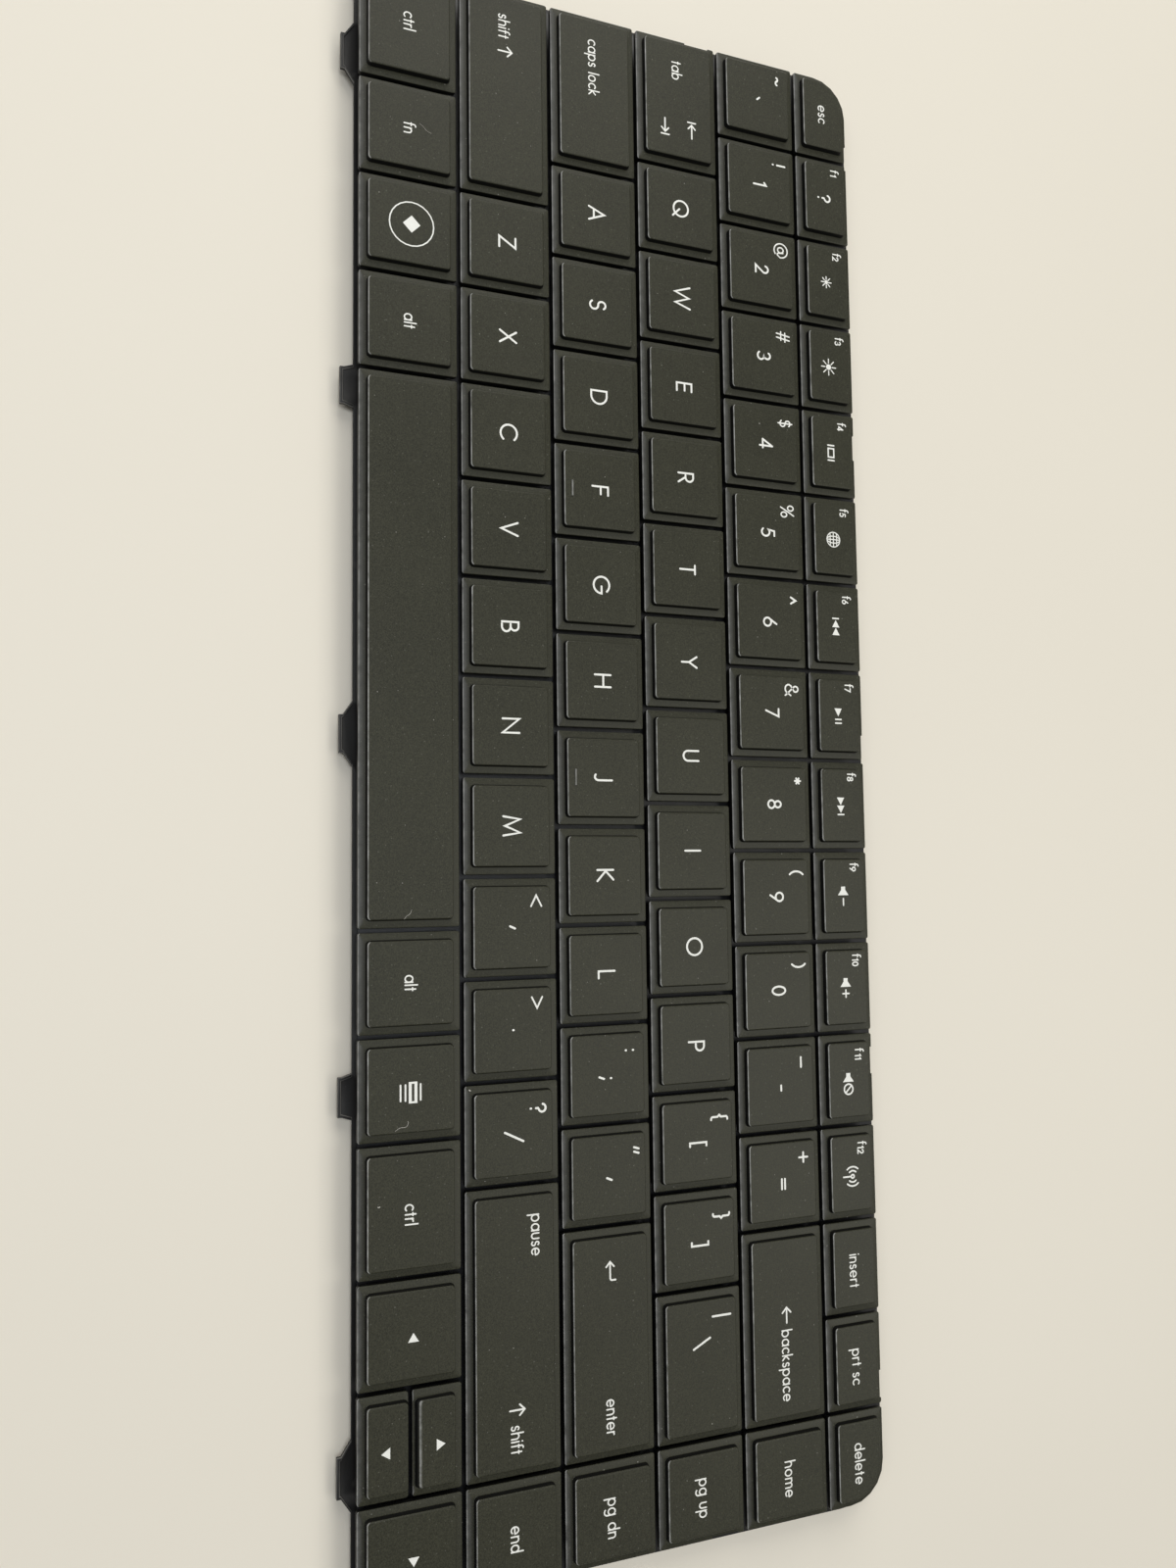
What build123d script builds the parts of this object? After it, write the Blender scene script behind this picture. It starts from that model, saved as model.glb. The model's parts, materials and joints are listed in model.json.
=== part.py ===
"""Replacement keyboard for a portable computer.

A painted steel plate carries a printed membrane. Under every keycap a rubber dome stands on the
membrane inside a pair of crossed scissor links, and the wide keys have a wire stabiliser as well.
X runs to the user's right, Y to the back and Z up. The origin is the middle of the underside, on
the plane that the screw bosses stand on.
"""

import os
from math import atan2, cos, degrees, pi, radians, sin

from build123d import *

# Key field
KEY_PITCH = 19.05  # width of one key unit
ROW_PITCH = 19.05  # depth of a full row
FRONT_ROW_DEPTH = 19.8  # depth of the row nearest the user
FUNCTION_ROW_DEPTH = 13.7  # depth of the row furthest back
KEY_GAP = 0.8  # open line between two caps
ROW_UNITS = 16  # width of every row, in key units

# Keycaps: a low flange all round and a raised plateau in its middle
SKIRT_HEIGHT = 1.3  # flange tier, from its lower edge to its upper face
STEP_HEIGHT = 1.1  # plateau above the flange
FLANGE_WIDTH = 1.3  # flange, from its outer edge to the foot of the plateau
STEP_RUN = 0.2  # how far the plateau's sides lean in
CAP_WALL = 0.9
CAP_TOP = 0.85  # plastic over the hollow underside
CORNER_RADIUS = 8.0  # outer corner of the two caps at the ends of the function row
ARROW_BEVEL = 0.6  # front edge of the upper half-depth arrow cap
HOMING_LENGTH = 3.3
HOMING_WIDTH = 0.5
HOMING_HEIGHT = 0.2
HOMING_INSET = 1.7  # from the plateau's front edge to the middle of the homing bar
RELIEF_LENGTH = 5.6  # shallow notches that clear the bezel's clips
RELIEF_DEPTH = 0.4
SIDE_RELIEF_SHIFT = 5.0  # notch at each end, behind the middle of its row

# Travel
KEY_TRAVEL = 2.2
LANDING_GAP = 0.15  # between the skirt and the membrane when a key is fully down

# Scissor links, domes and stabilisers
LINK_CLEARANCE = 0.05  # above and below a link at rest
LINK_THICKNESS = 0.7
LINK_BAR = 0.8
LINK_WIDTH = 10.4  # across the outer link
LINK_SIDE_GAP = 0.3  # between the outer and the inner link
LINK_ANGLE = 20.0  # tilt at rest under a cap of full depth
SHORT_LINK_ANGLE = 36.0  # under the function row and the half-depth arrows
DOME_RADIUS = 3.0
DOME_TOP_RADIUS = 0.9
DOME_SIDES = 6
STABILISED_UNITS = 2  # keys this wide or wider have a stabiliser
STABILISER_INSET = 4.0  # from the cap's end to the wire
STABILISER_WIRE = 0.8
STABILISER_SHIFT = 1.6  # behind the middle of the cap

# Membrane, plate and bosses
MEMBRANE_THICKNESS = 0.3
MEMBRANE_INSET = 1.0  # from the plate's edge
PLATE_THICKNESS = 0.5
PLATE_RIM = 1.8  # plate beyond the key field at its back and its two ends
PLATE_FRONT_INSET = 0.15  # plate's front edge behind the key field's front
TAB_COUNT = 5
TAB_PITCH = 66.0
TAB_SHIFT = -2.8  # middle tab from the middle of the plate
TAB_REACH = 2.6  # tabs beyond the plate's front edge
TAB_WIDTH = 7.2
TAB_NOSE = 0.8  # straight end of a tab
FLARED_TAB_ROOT = 12.6  # width of the first, third and fifth tab at the plate
SQUARE_TAB_ROOT = 8.4  # width of the second and fourth
TAB_LIP_WIDTH = 0.6  # raised edge pressed along a tab's outline
TAB_LIP_HEIGHT = 0.3
TAIL_SLOT_LENGTH = 30.0  # slot for the membrane's ribbon tail
TAIL_SLOT_WIDTH = 3.0
TAIL_SLOT_X = 18.0
TAIL_SLOT_Y = -20.0
BOSS_HEIGHT = 1.8
BOSS_RADIUS = 2.6  # to the corners of the hexagon
BOSS_SIDES = 6
BOSS_BORE_RADIUS = 0.8
BOSS_SPACING_X = 240.0
BOSS_SPACING_Y = 62.0

# Levels
PLATE_TOP = BOSS_HEIGHT + PLATE_THICKNESS
MEMBRANE_TOP = PLATE_TOP + MEMBRANE_THICKNESS
SKIRT_BOTTOM = MEMBRANE_TOP + KEY_TRAVEL + LANDING_GAP
CAVITY_HEIGHT = SKIRT_HEIGHT + STEP_HEIGHT - CAP_TOP
LINK_ROOM = SKIRT_BOTTOM + CAVITY_HEIGHT - MEMBRANE_TOP

# Plan
FULL_ROWS = 4
FIELD_WIDTH = ROW_UNITS * KEY_PITCH
FIELD_DEPTH = FRONT_ROW_DEPTH + FULL_ROWS * ROW_PITCH + FUNCTION_ROW_DEPTH
PLATE_WIDTH = FIELD_WIDTH + 2 * PLATE_RIM
PLATE_DEPTH = FIELD_DEPTH + PLATE_RIM - PLATE_FRONT_INSET
PLATE_FRONT = TAB_REACH - (PLATE_DEPTH + TAB_REACH) / 2
PLATE_MIDDLE = PLATE_FRONT + PLATE_DEPTH / 2
FIELD_FRONT = PLATE_FRONT - PLATE_FRONT_INSET
TAB_PLACES = [TAB_SHIFT + TAB_PITCH * (n - (TAB_COUNT - 1) / 2) for n in range(TAB_COUNT)]


def units(names):
    """One-unit keys, in order."""
    return [(name, 1) for name in names]


# Each row from the front, as names and widths in key units
FRONT_ROW = (
    [("left_ctrl", 1.25)]
    + units(["fn", "meta", "left_alt"])
    + [("space", 5.5)]
    + units(["right_alt", "menu"])
    + [("right_ctrl", 1.25)]
    + units(["left_arrow", "up_and_down", "right_arrow"])
)
SHIFT_ROW = (
    [("left_shift", 2.25)]
    + units([*"zxcvbnm", "comma", "period", "slash"])
    + [("right_shift", 2.75), ("end", 1)]
)
CAPS_ROW = (
    [("caps_lock", 1.75)]
    + units([*"asdfghjkl", "semicolon", "quote"])
    + [("enter", 2.25), ("page_down", 1)]
)
TAB_ROW = (
    [("tab", 1.5)]
    + units([*"qwertyuiop", "left_bracket", "right_bracket"])
    + [("backslash", 1.5), ("page_up", 1)]
)
NUMBER_ROW = (
    units(["backquote", *"1234567890", "minus", "equals"])
    + [("backspace", 2), ("home", 1)]
)
FUNCTION_KEYS = ["escape", *(f"f{n}" for n in range(1, 13)), "insert", "print_screen", "delete"]
ROWS = [FRONT_ROW, SHIFT_ROW, CAPS_ROW, TAB_ROW, NUMBER_ROW, units(FUNCTION_KEYS)]
ROW_DEPTHS = [FRONT_ROW_DEPTH] + [ROW_PITCH] * FULL_ROWS + [FUNCTION_ROW_DEPTH]

# Caps that share a node, because the keyboard has more keys than a part may have files
NAVIGATION_KEYS = [
    "home",
    "page_up",
    "page_down",
    "end",
    "left_arrow",
    "up_arrow",
    "down_arrow",
    "right_arrow",
]
MODIFIER_KEYS = [
    "tab",
    "caps_lock",
    "left_shift",
    "right_shift",
    "left_ctrl",
    "fn",
    "meta",
    "left_alt",
    "right_alt",
    "menu",
    "right_ctrl",
]
GROUPS = {
    "function_row_keycaps": FUNCTION_KEYS,
    "navigation_keycaps": NAVIGATION_KEYS,
    "modifier_keycaps": MODIFIER_KEYS,
}
HOMING_KEYS = ["f", "j"]


def key_cells():
    """Each key's middle and the width and depth of its cell, by name."""
    cells = {}
    front = FIELD_FRONT
    for row, depth in zip(ROWS, ROW_DEPTHS):
        left = -FIELD_WIDTH / 2
        for name, width in row:
            middle = left + width * KEY_PITCH / 2
            if name == "up_and_down":
                half = depth / 2
                cells["down_arrow"] = (middle, front + half / 2, KEY_PITCH, half)
                cells["up_arrow"] = (middle, front + half + half / 2, KEY_PITCH, half)
            else:
                cells[name] = (middle, front + depth / 2, width * KEY_PITCH, depth)
            left += width * KEY_PITCH
        front += depth
    return cells


def cap_outline(width, depth, inset=0.0, corner=0):
    """Rectangle set in from the cap's edge; corner -1 or 1 rounds its back corner on that side."""
    outline = Rectangle(width - 2 * inset, depth - 2 * inset)
    if corner:
        back = outline.vertices().sort_by(Axis.Y)[-2:].sort_by(Axis.X)
        outline = fillet(back[0 if corner < 0 else 1], CORNER_RADIUS - inset)
    return outline


def keycap(width, depth, corner=0, front_flange=FLANGE_WIDTH, back_flange=FLANGE_WIDTH):
    """Two-tier cap, hollow below, its lower edge at Z 0 and its middle on the Z axis."""
    skirt = extrude(cap_outline(width, depth, 0, corner), SKIRT_HEIGHT)
    plateau_depth = depth + 2 * FLANGE_WIDTH - front_flange - back_flange
    plateau_shift = (front_flange - back_flange) / 2
    foot = cap_outline(width, plateau_depth, FLANGE_WIDTH, corner)
    lean = degrees(atan2(STEP_RUN, STEP_HEIGHT))
    plateau = extrude(foot, STEP_HEIGHT, taper=lean)
    if front_flange == 0:
        crest = plateau.edges().group_by(Axis.Z)[-1].sort_by(Axis.Y)[0]
        plateau = chamfer(crest, ARROW_BEVEL)
    hollow_lean = degrees(atan2(FLANGE_WIDTH, CAVITY_HEIGHT))
    hollow = extrude(cap_outline(width, depth, CAP_WALL, corner), CAVITY_HEIGHT, taper=hollow_lean)
    return skirt + Pos(0, plateau_shift, SKIRT_HEIGHT) * plateau - hollow


def homing_bar(depth):
    """Small raised bar near the front of the plateau, for the two resting fingers."""
    bar = Box(
        HOMING_LENGTH,
        HOMING_WIDTH,
        HOMING_HEIGHT,
        align=(Align.CENTER, Align.CENTER, Align.MIN),
    )
    front = -depth / 2 + FLANGE_WIDTH + STEP_RUN + HOMING_INSET
    return Pos(0, front, SKIRT_HEIGHT + STEP_HEIGHT) * bar


def clip_reliefs(cells):
    """Blocks that cut the bezel's clip notches out of the outer edge of the key field."""
    along_back = Box(RELIEF_LENGTH, 2 * RELIEF_DEPTH, 2 * SKIRT_HEIGHT)
    along_side = Box(2 * RELIEF_DEPTH, RELIEF_LENGTH, 2 * SKIRT_HEIGHT)
    back = FIELD_FRONT + FIELD_DEPTH - KEY_GAP / 2
    side = FIELD_WIDTH / 2 - KEY_GAP / 2
    level = SKIRT_BOTTOM + SKIRT_HEIGHT / 2
    row = cells["tab"][1] + SIDE_RELIEF_SHIFT
    return {
        "function_row_keycaps": [Pos(x, back, level) * along_back for x in TAB_PLACES],
        "modifier_keycaps": [Pos(-side, row, level) * along_side],
        "navigation_keycaps": [Pos(side, row, level) * along_side],
    }


def all_caps(cells):
    """Every keycap in its place, by name."""
    made, placed = {}, {}
    for name, (x, y, cell_width, cell_depth) in cells.items():
        width, depth = cell_width - KEY_GAP, cell_depth - KEY_GAP
        options = {}
        if name == "escape":
            options = {"corner": -1}
        if name == "delete":
            options = {"corner": 1}
        if name == "up_arrow":
            options = {"front_flange": 0}
        if name == "down_arrow":
            options = {"back_flange": 0}
        form = (round(width, 3), round(depth, 3), *options.items())
        if form not in made:
            made[form] = keycap(width, depth, **options)
        cap = made[form]
        if name in HOMING_KEYS:
            cap = cap + homing_bar(depth)
        placed[name] = Pos(x, y, SKIRT_BOTTOM) * cap
    return placed


def touching(cap, block):
    """Whether the boxes round a cap and a cutting block meet."""
    a, b = cap.bounding_box(), block.bounding_box()
    return all(
        low_a < high_b and low_b < high_a
        for low_a, high_a, low_b, high_b in zip(a.min, a.max, b.min, b.max)
    )


def fork(width, bar, thickness, angle):
    """U-shaped link, tilted: its feet near the membrane in front, its cross-bar under the cap behind."""
    tilt = radians(angle)
    length = (LINK_ROOM - 2 * LINK_CLEARANCE - thickness * cos(tilt)) / sin(tilt)
    outline = Rectangle(width, length) - Pos(0, -bar) * Rectangle(width - 2 * bar, length)
    flat = Pos(0, 0, -thickness / 2) * extrude(outline, thickness)
    return Pos(0, 0, MEMBRANE_TOP + LINK_ROOM / 2) * Rot(angle, 0, 0) * flat


def dome():
    """Rubber dome from the membrane to the cap's underside."""
    height = LINK_ROOM - LINK_CLEARANCE
    lean = degrees(atan2((DOME_RADIUS - DOME_TOP_RADIUS) * cos(pi / DOME_SIDES), height))
    return Pos(0, 0, MEMBRANE_TOP) * extrude(RegularPolygon(DOME_RADIUS, DOME_SIDES), height, taper=lean)


def plate_outline():
    """The plate without its tabs, with its two back corners rounded."""
    outline = Rectangle(PLATE_WIDTH, PLATE_DEPTH)
    back = outline.vertices().sort_by(Axis.Y)[-2:]
    return Pos(0, PLATE_MIDDLE) * fillet(back, CORNER_RADIUS + KEY_GAP / 2 + PLATE_RIM)


def tab_outline(root, inset=0.0):
    """One front tab: a flared root on the plate's edge and a straight nose."""
    half_root, half_nose = root / 2 - inset, TAB_WIDTH / 2 - inset
    shoulder, end = TAB_NOSE - TAB_REACH, inset - TAB_REACH
    corners = [
        (-half_root, 0),
        (-half_nose, shoulder),
        (-half_nose, end),
        (half_nose, end),
        (half_nose, shoulder),
        (half_root, 0),
    ]
    return make_face(Polyline(*corners, close=True))


def base_plate():
    """Sheet steel plate with its front tabs, their pressed lips and the slot for the ribbon tail."""
    outline = plate_outline()
    lips = []
    for number, x in enumerate(TAB_PLACES):
        root = SQUARE_TAB_ROOT if number % 2 else FLARED_TAB_ROOT
        place = Pos(x, PLATE_FRONT)
        outline += place * tab_outline(root)
        lip = tab_outline(root) - tab_outline(root, TAB_LIP_WIDTH)
        lips.append(place * lip)
    outline -= Pos(TAIL_SLOT_X, TAIL_SLOT_Y) * Rectangle(TAIL_SLOT_LENGTH, TAIL_SLOT_WIDTH)
    plate = Pos(0, 0, BOSS_HEIGHT) * extrude(outline, PLATE_THICKNESS)
    for lip in lips:
        plate += Pos(0, 0, PLATE_TOP) * extrude(lip, TAB_LIP_HEIGHT)
    return plate


def membrane():
    """Printed switch film, laid on the plate, with its two back corners cut straight."""
    outline = Rectangle(PLATE_WIDTH - 2 * MEMBRANE_INSET, PLATE_DEPTH - 2 * MEMBRANE_INSET)
    back = outline.vertices().sort_by(Axis.Y)[-2:]
    film = extrude(chamfer(back, CORNER_RADIUS), MEMBRANE_THICKNESS)
    return Pos(0, PLATE_MIDDLE, PLATE_TOP) * film


def mounting_bosses():
    """Hexagonal threaded bosses fixed to the plate's underside, for screws from below."""
    ring = RegularPolygon(BOSS_RADIUS, BOSS_SIDES) - Circle(BOSS_BORE_RADIUS)
    boss = extrude(ring, BOSS_HEIGHT)
    places = GridLocations(BOSS_SPACING_X, BOSS_SPACING_Y, 2, 2)
    return [Pos(0, PLATE_MIDDLE) * place * boss for place in places]


def main():
    """Builds every piece and writes one file for each node."""
    cells = key_cells()
    caps = all_caps(cells)
    for group, blocks in clip_reliefs(cells).items():
        for name in GROUPS[group]:
            for block in blocks:
                if touching(caps[name], block):
                    caps[name] = caps[name] - block

    inner_width = LINK_WIDTH - 2 * (LINK_BAR + LINK_SIDE_GAP)
    outer_links, inner_links, domes, stabilisers = [], [], [], []
    one_dome = dome()
    for x, y, cell_width, cell_depth in cells.values():
        place = Pos(x, y)
        angle = LINK_ANGLE if cell_depth > FUNCTION_ROW_DEPTH else SHORT_LINK_ANGLE
        outer_links.append(place * fork(LINK_WIDTH, LINK_BAR, LINK_THICKNESS, angle))
        inner = fork(inner_width, LINK_BAR, LINK_THICKNESS, angle)
        inner_links.append(place * Rot(0, 0, 180) * inner)
        domes.append(place * one_dome)
        if cell_width >= STABILISED_UNITS * KEY_PITCH:
            wire_width = cell_width - KEY_GAP - 2 * STABILISER_INSET
            wire = fork(wire_width, STABILISER_WIRE, STABILISER_WIRE, LINK_ANGLE)
            stabilisers.append(Pos(x, y + STABILISER_SHIFT) * wire)

    nodes = {
        "base_plate": base_plate(),
        "mounting_bosses": Compound(mounting_bosses()),
        "membrane": membrane(),
        "rubber_domes": Compound(domes),
        "scissor_outer_links": Compound(outer_links),
        "scissor_inner_links": Compound(inner_links),
        "stabiliser_bars": Compound(stabilisers),
    }
    for group, names in GROUPS.items():
        nodes[group] = Compound([caps.pop(name) for name in names])
    for name, cap in caps.items():
        nodes[f"keycap_{name}"] = cap

    os.makedirs("parts", exist_ok=True)
    for name, shape in nodes.items():
        export_step(shape, f"parts/{name}.step")


main()
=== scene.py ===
"""A loose laptop keyboard: 85 two-tier keycaps on a black plate, lying on a pale floor."""
import json
from math import cos, pi, radians, sin

import bmesh
import bpy
from mathutils import Matrix, Vector

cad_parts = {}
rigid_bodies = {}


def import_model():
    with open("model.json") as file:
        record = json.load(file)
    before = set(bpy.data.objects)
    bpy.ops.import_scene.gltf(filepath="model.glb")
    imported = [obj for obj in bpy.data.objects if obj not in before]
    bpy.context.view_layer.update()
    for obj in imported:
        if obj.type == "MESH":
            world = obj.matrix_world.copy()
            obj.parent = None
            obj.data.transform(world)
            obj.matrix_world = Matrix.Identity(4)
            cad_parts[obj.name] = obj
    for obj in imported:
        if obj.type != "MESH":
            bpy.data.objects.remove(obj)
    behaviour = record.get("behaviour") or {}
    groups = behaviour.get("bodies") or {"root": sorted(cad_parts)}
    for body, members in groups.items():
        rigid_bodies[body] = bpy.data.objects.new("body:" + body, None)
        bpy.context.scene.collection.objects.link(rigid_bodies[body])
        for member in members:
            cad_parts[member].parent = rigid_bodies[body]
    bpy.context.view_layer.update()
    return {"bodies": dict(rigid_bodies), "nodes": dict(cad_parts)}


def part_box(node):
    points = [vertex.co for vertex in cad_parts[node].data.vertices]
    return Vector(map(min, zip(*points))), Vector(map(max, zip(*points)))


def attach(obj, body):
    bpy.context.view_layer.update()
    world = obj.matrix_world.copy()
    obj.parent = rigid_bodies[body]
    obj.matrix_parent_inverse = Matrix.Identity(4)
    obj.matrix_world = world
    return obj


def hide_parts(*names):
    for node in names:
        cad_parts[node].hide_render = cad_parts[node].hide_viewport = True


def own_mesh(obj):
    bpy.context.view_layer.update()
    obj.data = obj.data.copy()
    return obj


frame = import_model()
MM = 0.001


# Base plate
# A stamped sheet of steel under black paint, which everything else is fixed to. Its five front
# tabs, with a raised lip pressed round each, slip under the computer's palm rest.


class Wire:
    """A socket in a node tree. Arithmetic on it adds Math nodes."""

    def __init__(self, tree, socket=None):
        self.tree = tree
        self.socket = socket

    def node(self, kind, values=None, output=0, **settings):
        """Adds a node, makes its settings, fills its sockets and returns one of its outputs."""
        made = self.tree.nodes.new(kind)
        for name, value in settings.items():
            setattr(made, name, value)
        for key, value in (values or {}).items():
            if isinstance(value, Wire):
                self.tree.links.new(value.socket, made.inputs[key])
            else:
                made.inputs[key].default_value = value
        return Wire(self.tree, made.outputs[output])

    def out(self, key):
        """Another output of the same node."""
        return Wire(self.tree, self.socket.node.outputs[key])

    def into(self, socket):
        """Links this output to an input."""
        self.tree.links.new(self.socket, socket)

    def math(self, operation, *others):
        """This value, with any others after it, through a Math node."""
        return self.node("ShaderNodeMath", dict(enumerate([self, *others])), operation=operation)

    def __add__(self, other):
        return self.math("ADD", other)

    def __sub__(self, other):
        return self.math("SUBTRACT", other)

    def __rsub__(self, other):
        return self.node("ShaderNodeMath", {0: other, 1: self}, operation="SUBTRACT")

    def __mul__(self, other):
        return self.math("MULTIPLY", other)

    def __truediv__(self, other):
        return self.math("DIVIDE", other)

    def __gt__(self, other):
        return self.math("GREATER_THAN", other)

    def __lt__(self, other):
        return self.math("LESS_THAN", other)

    __radd__ = __add__
    __rmul__ = __mul__


def start_material(name, roughness):
    """A new material, its main shader, and the object's own coordinates."""
    material = bpy.data.materials.new(name)
    material.use_nodes = True
    shader = material.node_tree.nodes["Principled BSDF"]
    shader.inputs["Roughness"].default_value = roughness
    place = Wire(material.node_tree).node("ShaderNodeTexCoord", output="Object")
    return material, shader.inputs, place


def tinted(colour, share, other):
    """A colour that turns into another one by a share that changes over the surface."""
    return share.node("ShaderNodeMix", {0: share, 6: colour, 7: (*other, 1)}, 2, data_type="RGBA")


def two_colours(share, first, second):
    """Mixes two plain colours by a share."""
    return tinted((*first, 1), share, second)


def grain(place, size, detail=2.0):
    """Noise from 0 to 1 whose lumps are about this wide, in metres."""
    return place.node("ShaderNodeTexNoise", {"Vector": place, "Scale": 1 / size, "Detail": detail})


def bump(height, depth, into):
    """Raises the surface by up to depth, in metres."""
    relief = height.node("ShaderNodeBump", {"Height": height, "Distance": depth, "Strength": 1.0})
    relief.into(into["Normal"])


def add_object(name, data):
    """A new object in the scene."""
    made = bpy.data.objects.new(name, data)
    bpy.context.scene.collection.objects.link(made)
    return made


def add_piece(name, mesh, body, nodes=()):
    """Puts a finished mesh in the scene, on its body, in place of the solids that it stands for."""
    piece = add_object(name, mesh)
    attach(piece, body)
    if nodes:
        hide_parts(*nodes)
    return piece


def smooth(mesh, angle=40):
    """Shades a mesh smooth, apart from edges sharper than this angle."""
    mesh.shade_smooth()
    mesh.set_sharp_from_angle(angle=radians(angle))


def made_plain(carrier):
    """The plain mesh that an object's modifiers make. The object itself goes."""
    depsgraph = bpy.context.evaluated_depsgraph_get()
    mesh = bpy.data.meshes.new_from_object(carrier.evaluated_get(depsgraph))
    bpy.data.objects.remove(carrier)
    return mesh


def coat(mesh, material):
    """Gives a mesh this material alone."""
    mesh.materials.clear()
    mesh.materials.append(material)


def softened(node, width, material):
    """A copy of a solid with its edges rounded off by this much, in this material."""
    mesh = frame["nodes"][node].data.copy()
    shape = bmesh.new()
    shape.from_mesh(mesh)
    bmesh.ops.remove_doubles(shape, verts=shape.verts, dist=0.002 * MM)
    bmesh.ops.dissolve_limit(shape, angle_limit=radians(1), verts=shape.verts, edges=shape.edges)
    shape.to_mesh(mesh)
    shape.free()
    carrier = add_object(node + "_edges", mesh)
    rounding = carrier.modifiers.new("rounding", "BEVEL")
    rounding.width = width
    rounding.segments = 2
    rounding.limit_method = "ANGLE"
    rounding.angle_limit = radians(35)
    finished = made_plain(carrier)
    smooth(finished)
    coat(finished, material)
    return finished


PAINT = (0.0065, 0.006, 0.0055)
RUBBED_PAINT_AND_HIGHLIGHT = (0.24, 0.23, 0.21)
PLATE_EDGE = 0.11 * MM
LIP_EDGE_LOW = 2.46 * MM
LIP_EDGE_HIGH = 2.596 * MM
plate_paint, paint, place = start_material("black_plate_paint", 0.36)
patchiness = grain(place, 3.0 * MM, 5.0)
height = place.node("ShaderNodeSeparateXYZ", {0: place}, "Z")
# The band round the edges of the pressed lips is painted lighter as a painted highlight; a few random spots
# elsewhere are rubbed wear.
lip_highlight_band = (height > LIP_EDGE_LOW) * (height < LIP_EDGE_HIGH)
wear_and_highlight = lip_highlight_band * patchiness * 1.2 + (patchiness > 0.66) * 0.05
two_colours(wear_and_highlight, PAINT, RUBBED_PAINT_AND_HIGHLIGHT).into(paint["Base Color"])
(grain(place, 0.6 * MM) * 0.2 + 0.45).into(paint["Roughness"])
bump(grain(place, 0.25 * MM), 0.004 * MM, paint)
plate_mesh = softened("base_plate", PLATE_EDGE, plate_paint)
add_piece("plate_with_tabs", plate_mesh, "chassis", ["base_plate"])


# Mounting bosses
# Four short hexagonal steel bosses, pressed and staked into the plate from below and threaded
# for the screws that hold the keyboard down. They are bright zinc over steel.
ZINC = (0.50, 0.49, 0.46)
DULL_ZINC = (0.30, 0.29, 0.27)
BOSS_EDGE = 0.15 * MM
THREAD_PITCH = 0.4 * MM
THREAD_DEPTH = 0.02 * MM


def mottled(name, lump, detail, dark, light, roughest, smoothest, metallic=0.0):
    """A material whose colour and roughness follow one cloudy pattern with lumps this wide."""
    material, inputs, place = start_material(name, smoothest)
    cloud = grain(place, lump, detail)
    two_colours(cloud, dark, light).into(inputs["Base Color"])
    (cloud * (roughest - smoothest) + smoothest).into(inputs["Roughness"])
    inputs["Metallic"].default_value = metallic
    return material, inputs, place


boss_zinc, zinc, place = mottled("boss_zinc", 0.9 * MM, 4.0, DULL_ZINC, ZINC, 0.50, 0.25, 1.0)
height = place.node("ShaderNodeSeparateXYZ", {0: place}, "Z")
winding = height * (2 * pi / THREAD_PITCH)
bump(winding.math("SINE"), THREAD_DEPTH, zinc)
boss_mesh = softened("mounting_bosses", BOSS_EDGE, boss_zinc)
add_piece("threaded_bosses", boss_mesh, "chassis", ["mounting_bosses"])


# Switch membrane
# Three sheets of printed film, bonded together and laid on the plate. Only its black printed
# upper face can be seen, in the gaps between the keys.
FILM = (0.006, 0.006, 0.007)
FILM_SHEEN = (0.014, 0.014, 0.016)
FILM_EDGE = 0.05 * MM
switch_film, _, _ = mottled("switch_film", 6 * MM, 3.0, FILM, FILM_SHEEN, 0.55, 0.35)
film_mesh = softened("membrane", FILM_EDGE, switch_film)
add_piece("switch_membrane", film_mesh, "chassis", ["membrane"])


# Rubber domes
# One moulded silicone dome stands on the membrane under every key and returns it. The dome
# buckles as the key goes down, and each moving key has a dome piece of its own.
PITCH = 19.05 * MM
ROW_UNITS = 16
FRONT_DEPTH = 19.8 * MM
BACK_DEPTH = 13.7 * MM
GAP = 0.8 * MM
FIELD_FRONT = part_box("keycap_space")[0].y - GAP / 2
FILM_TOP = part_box("membrane")[1].z


def one_unit(names):
    """Keys of one unit, in order."""
    return [(name, 1) for name in names]


ROWS = [
    [("left_ctrl", 1.25), ("fn", 1), ("meta", 1), ("left_alt", 1), ("space", 5.5), ("right_alt", 1)]
    + [("menu", 1), ("right_ctrl", 1.25), ("left_arrow", 1), ("up_and_down", 1), ("right_arrow", 1)],
    [("left_shift", 2.25)]
    + one_unit([*"zxcvbnm", "comma", "period", "slash"])
    + [("right_shift", 2.75), ("end", 1)],
    [("caps_lock", 1.75)]
    + one_unit([*"asdfghjkl", "semicolon", "quote"])
    + [("enter", 2.25), ("page_down", 1)],
    [("tab", 1.5)]
    + one_unit([*"qwertyuiop", "left_bracket", "right_bracket"])
    + [("backslash", 1.5), ("page_up", 1)],
    one_unit(["backquote", *"1234567890", "minus", "equals"]) + [("backspace", 2), ("home", 1)],
    one_unit(["escape", *(f"f{n}" for n in range(1, 13)), "insert", "print_screen", "delete"]),
]
ROW_DEPTHS = [FRONT_DEPTH, PITCH, PITCH, PITCH, PITCH, BACK_DEPTH]


def key_cells():
    """The middle, width and depth of each key's cell, by name."""
    cells = {}
    front = FIELD_FRONT
    for row, depth in zip(ROWS, ROW_DEPTHS):
        left = -ROW_UNITS / 2 * PITCH
        for name, units in row:
            width = units * PITCH
            middle = left + width / 2
            if name == "up_and_down":
                cells["down_arrow"] = (middle, front + depth / 4, width, depth / 2)
                cells["up_arrow"] = (middle, front + depth * 3 / 4, width, depth / 2)
            else:
                cells[name] = (middle, front + depth / 2, width, depth)
            left += width
        front += depth
    return cells


cells = key_cells()
moving = [name for name in cells if "key_" + name in frame["bodies"]]
fixed = [name for name in cells if name not in moving]


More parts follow.
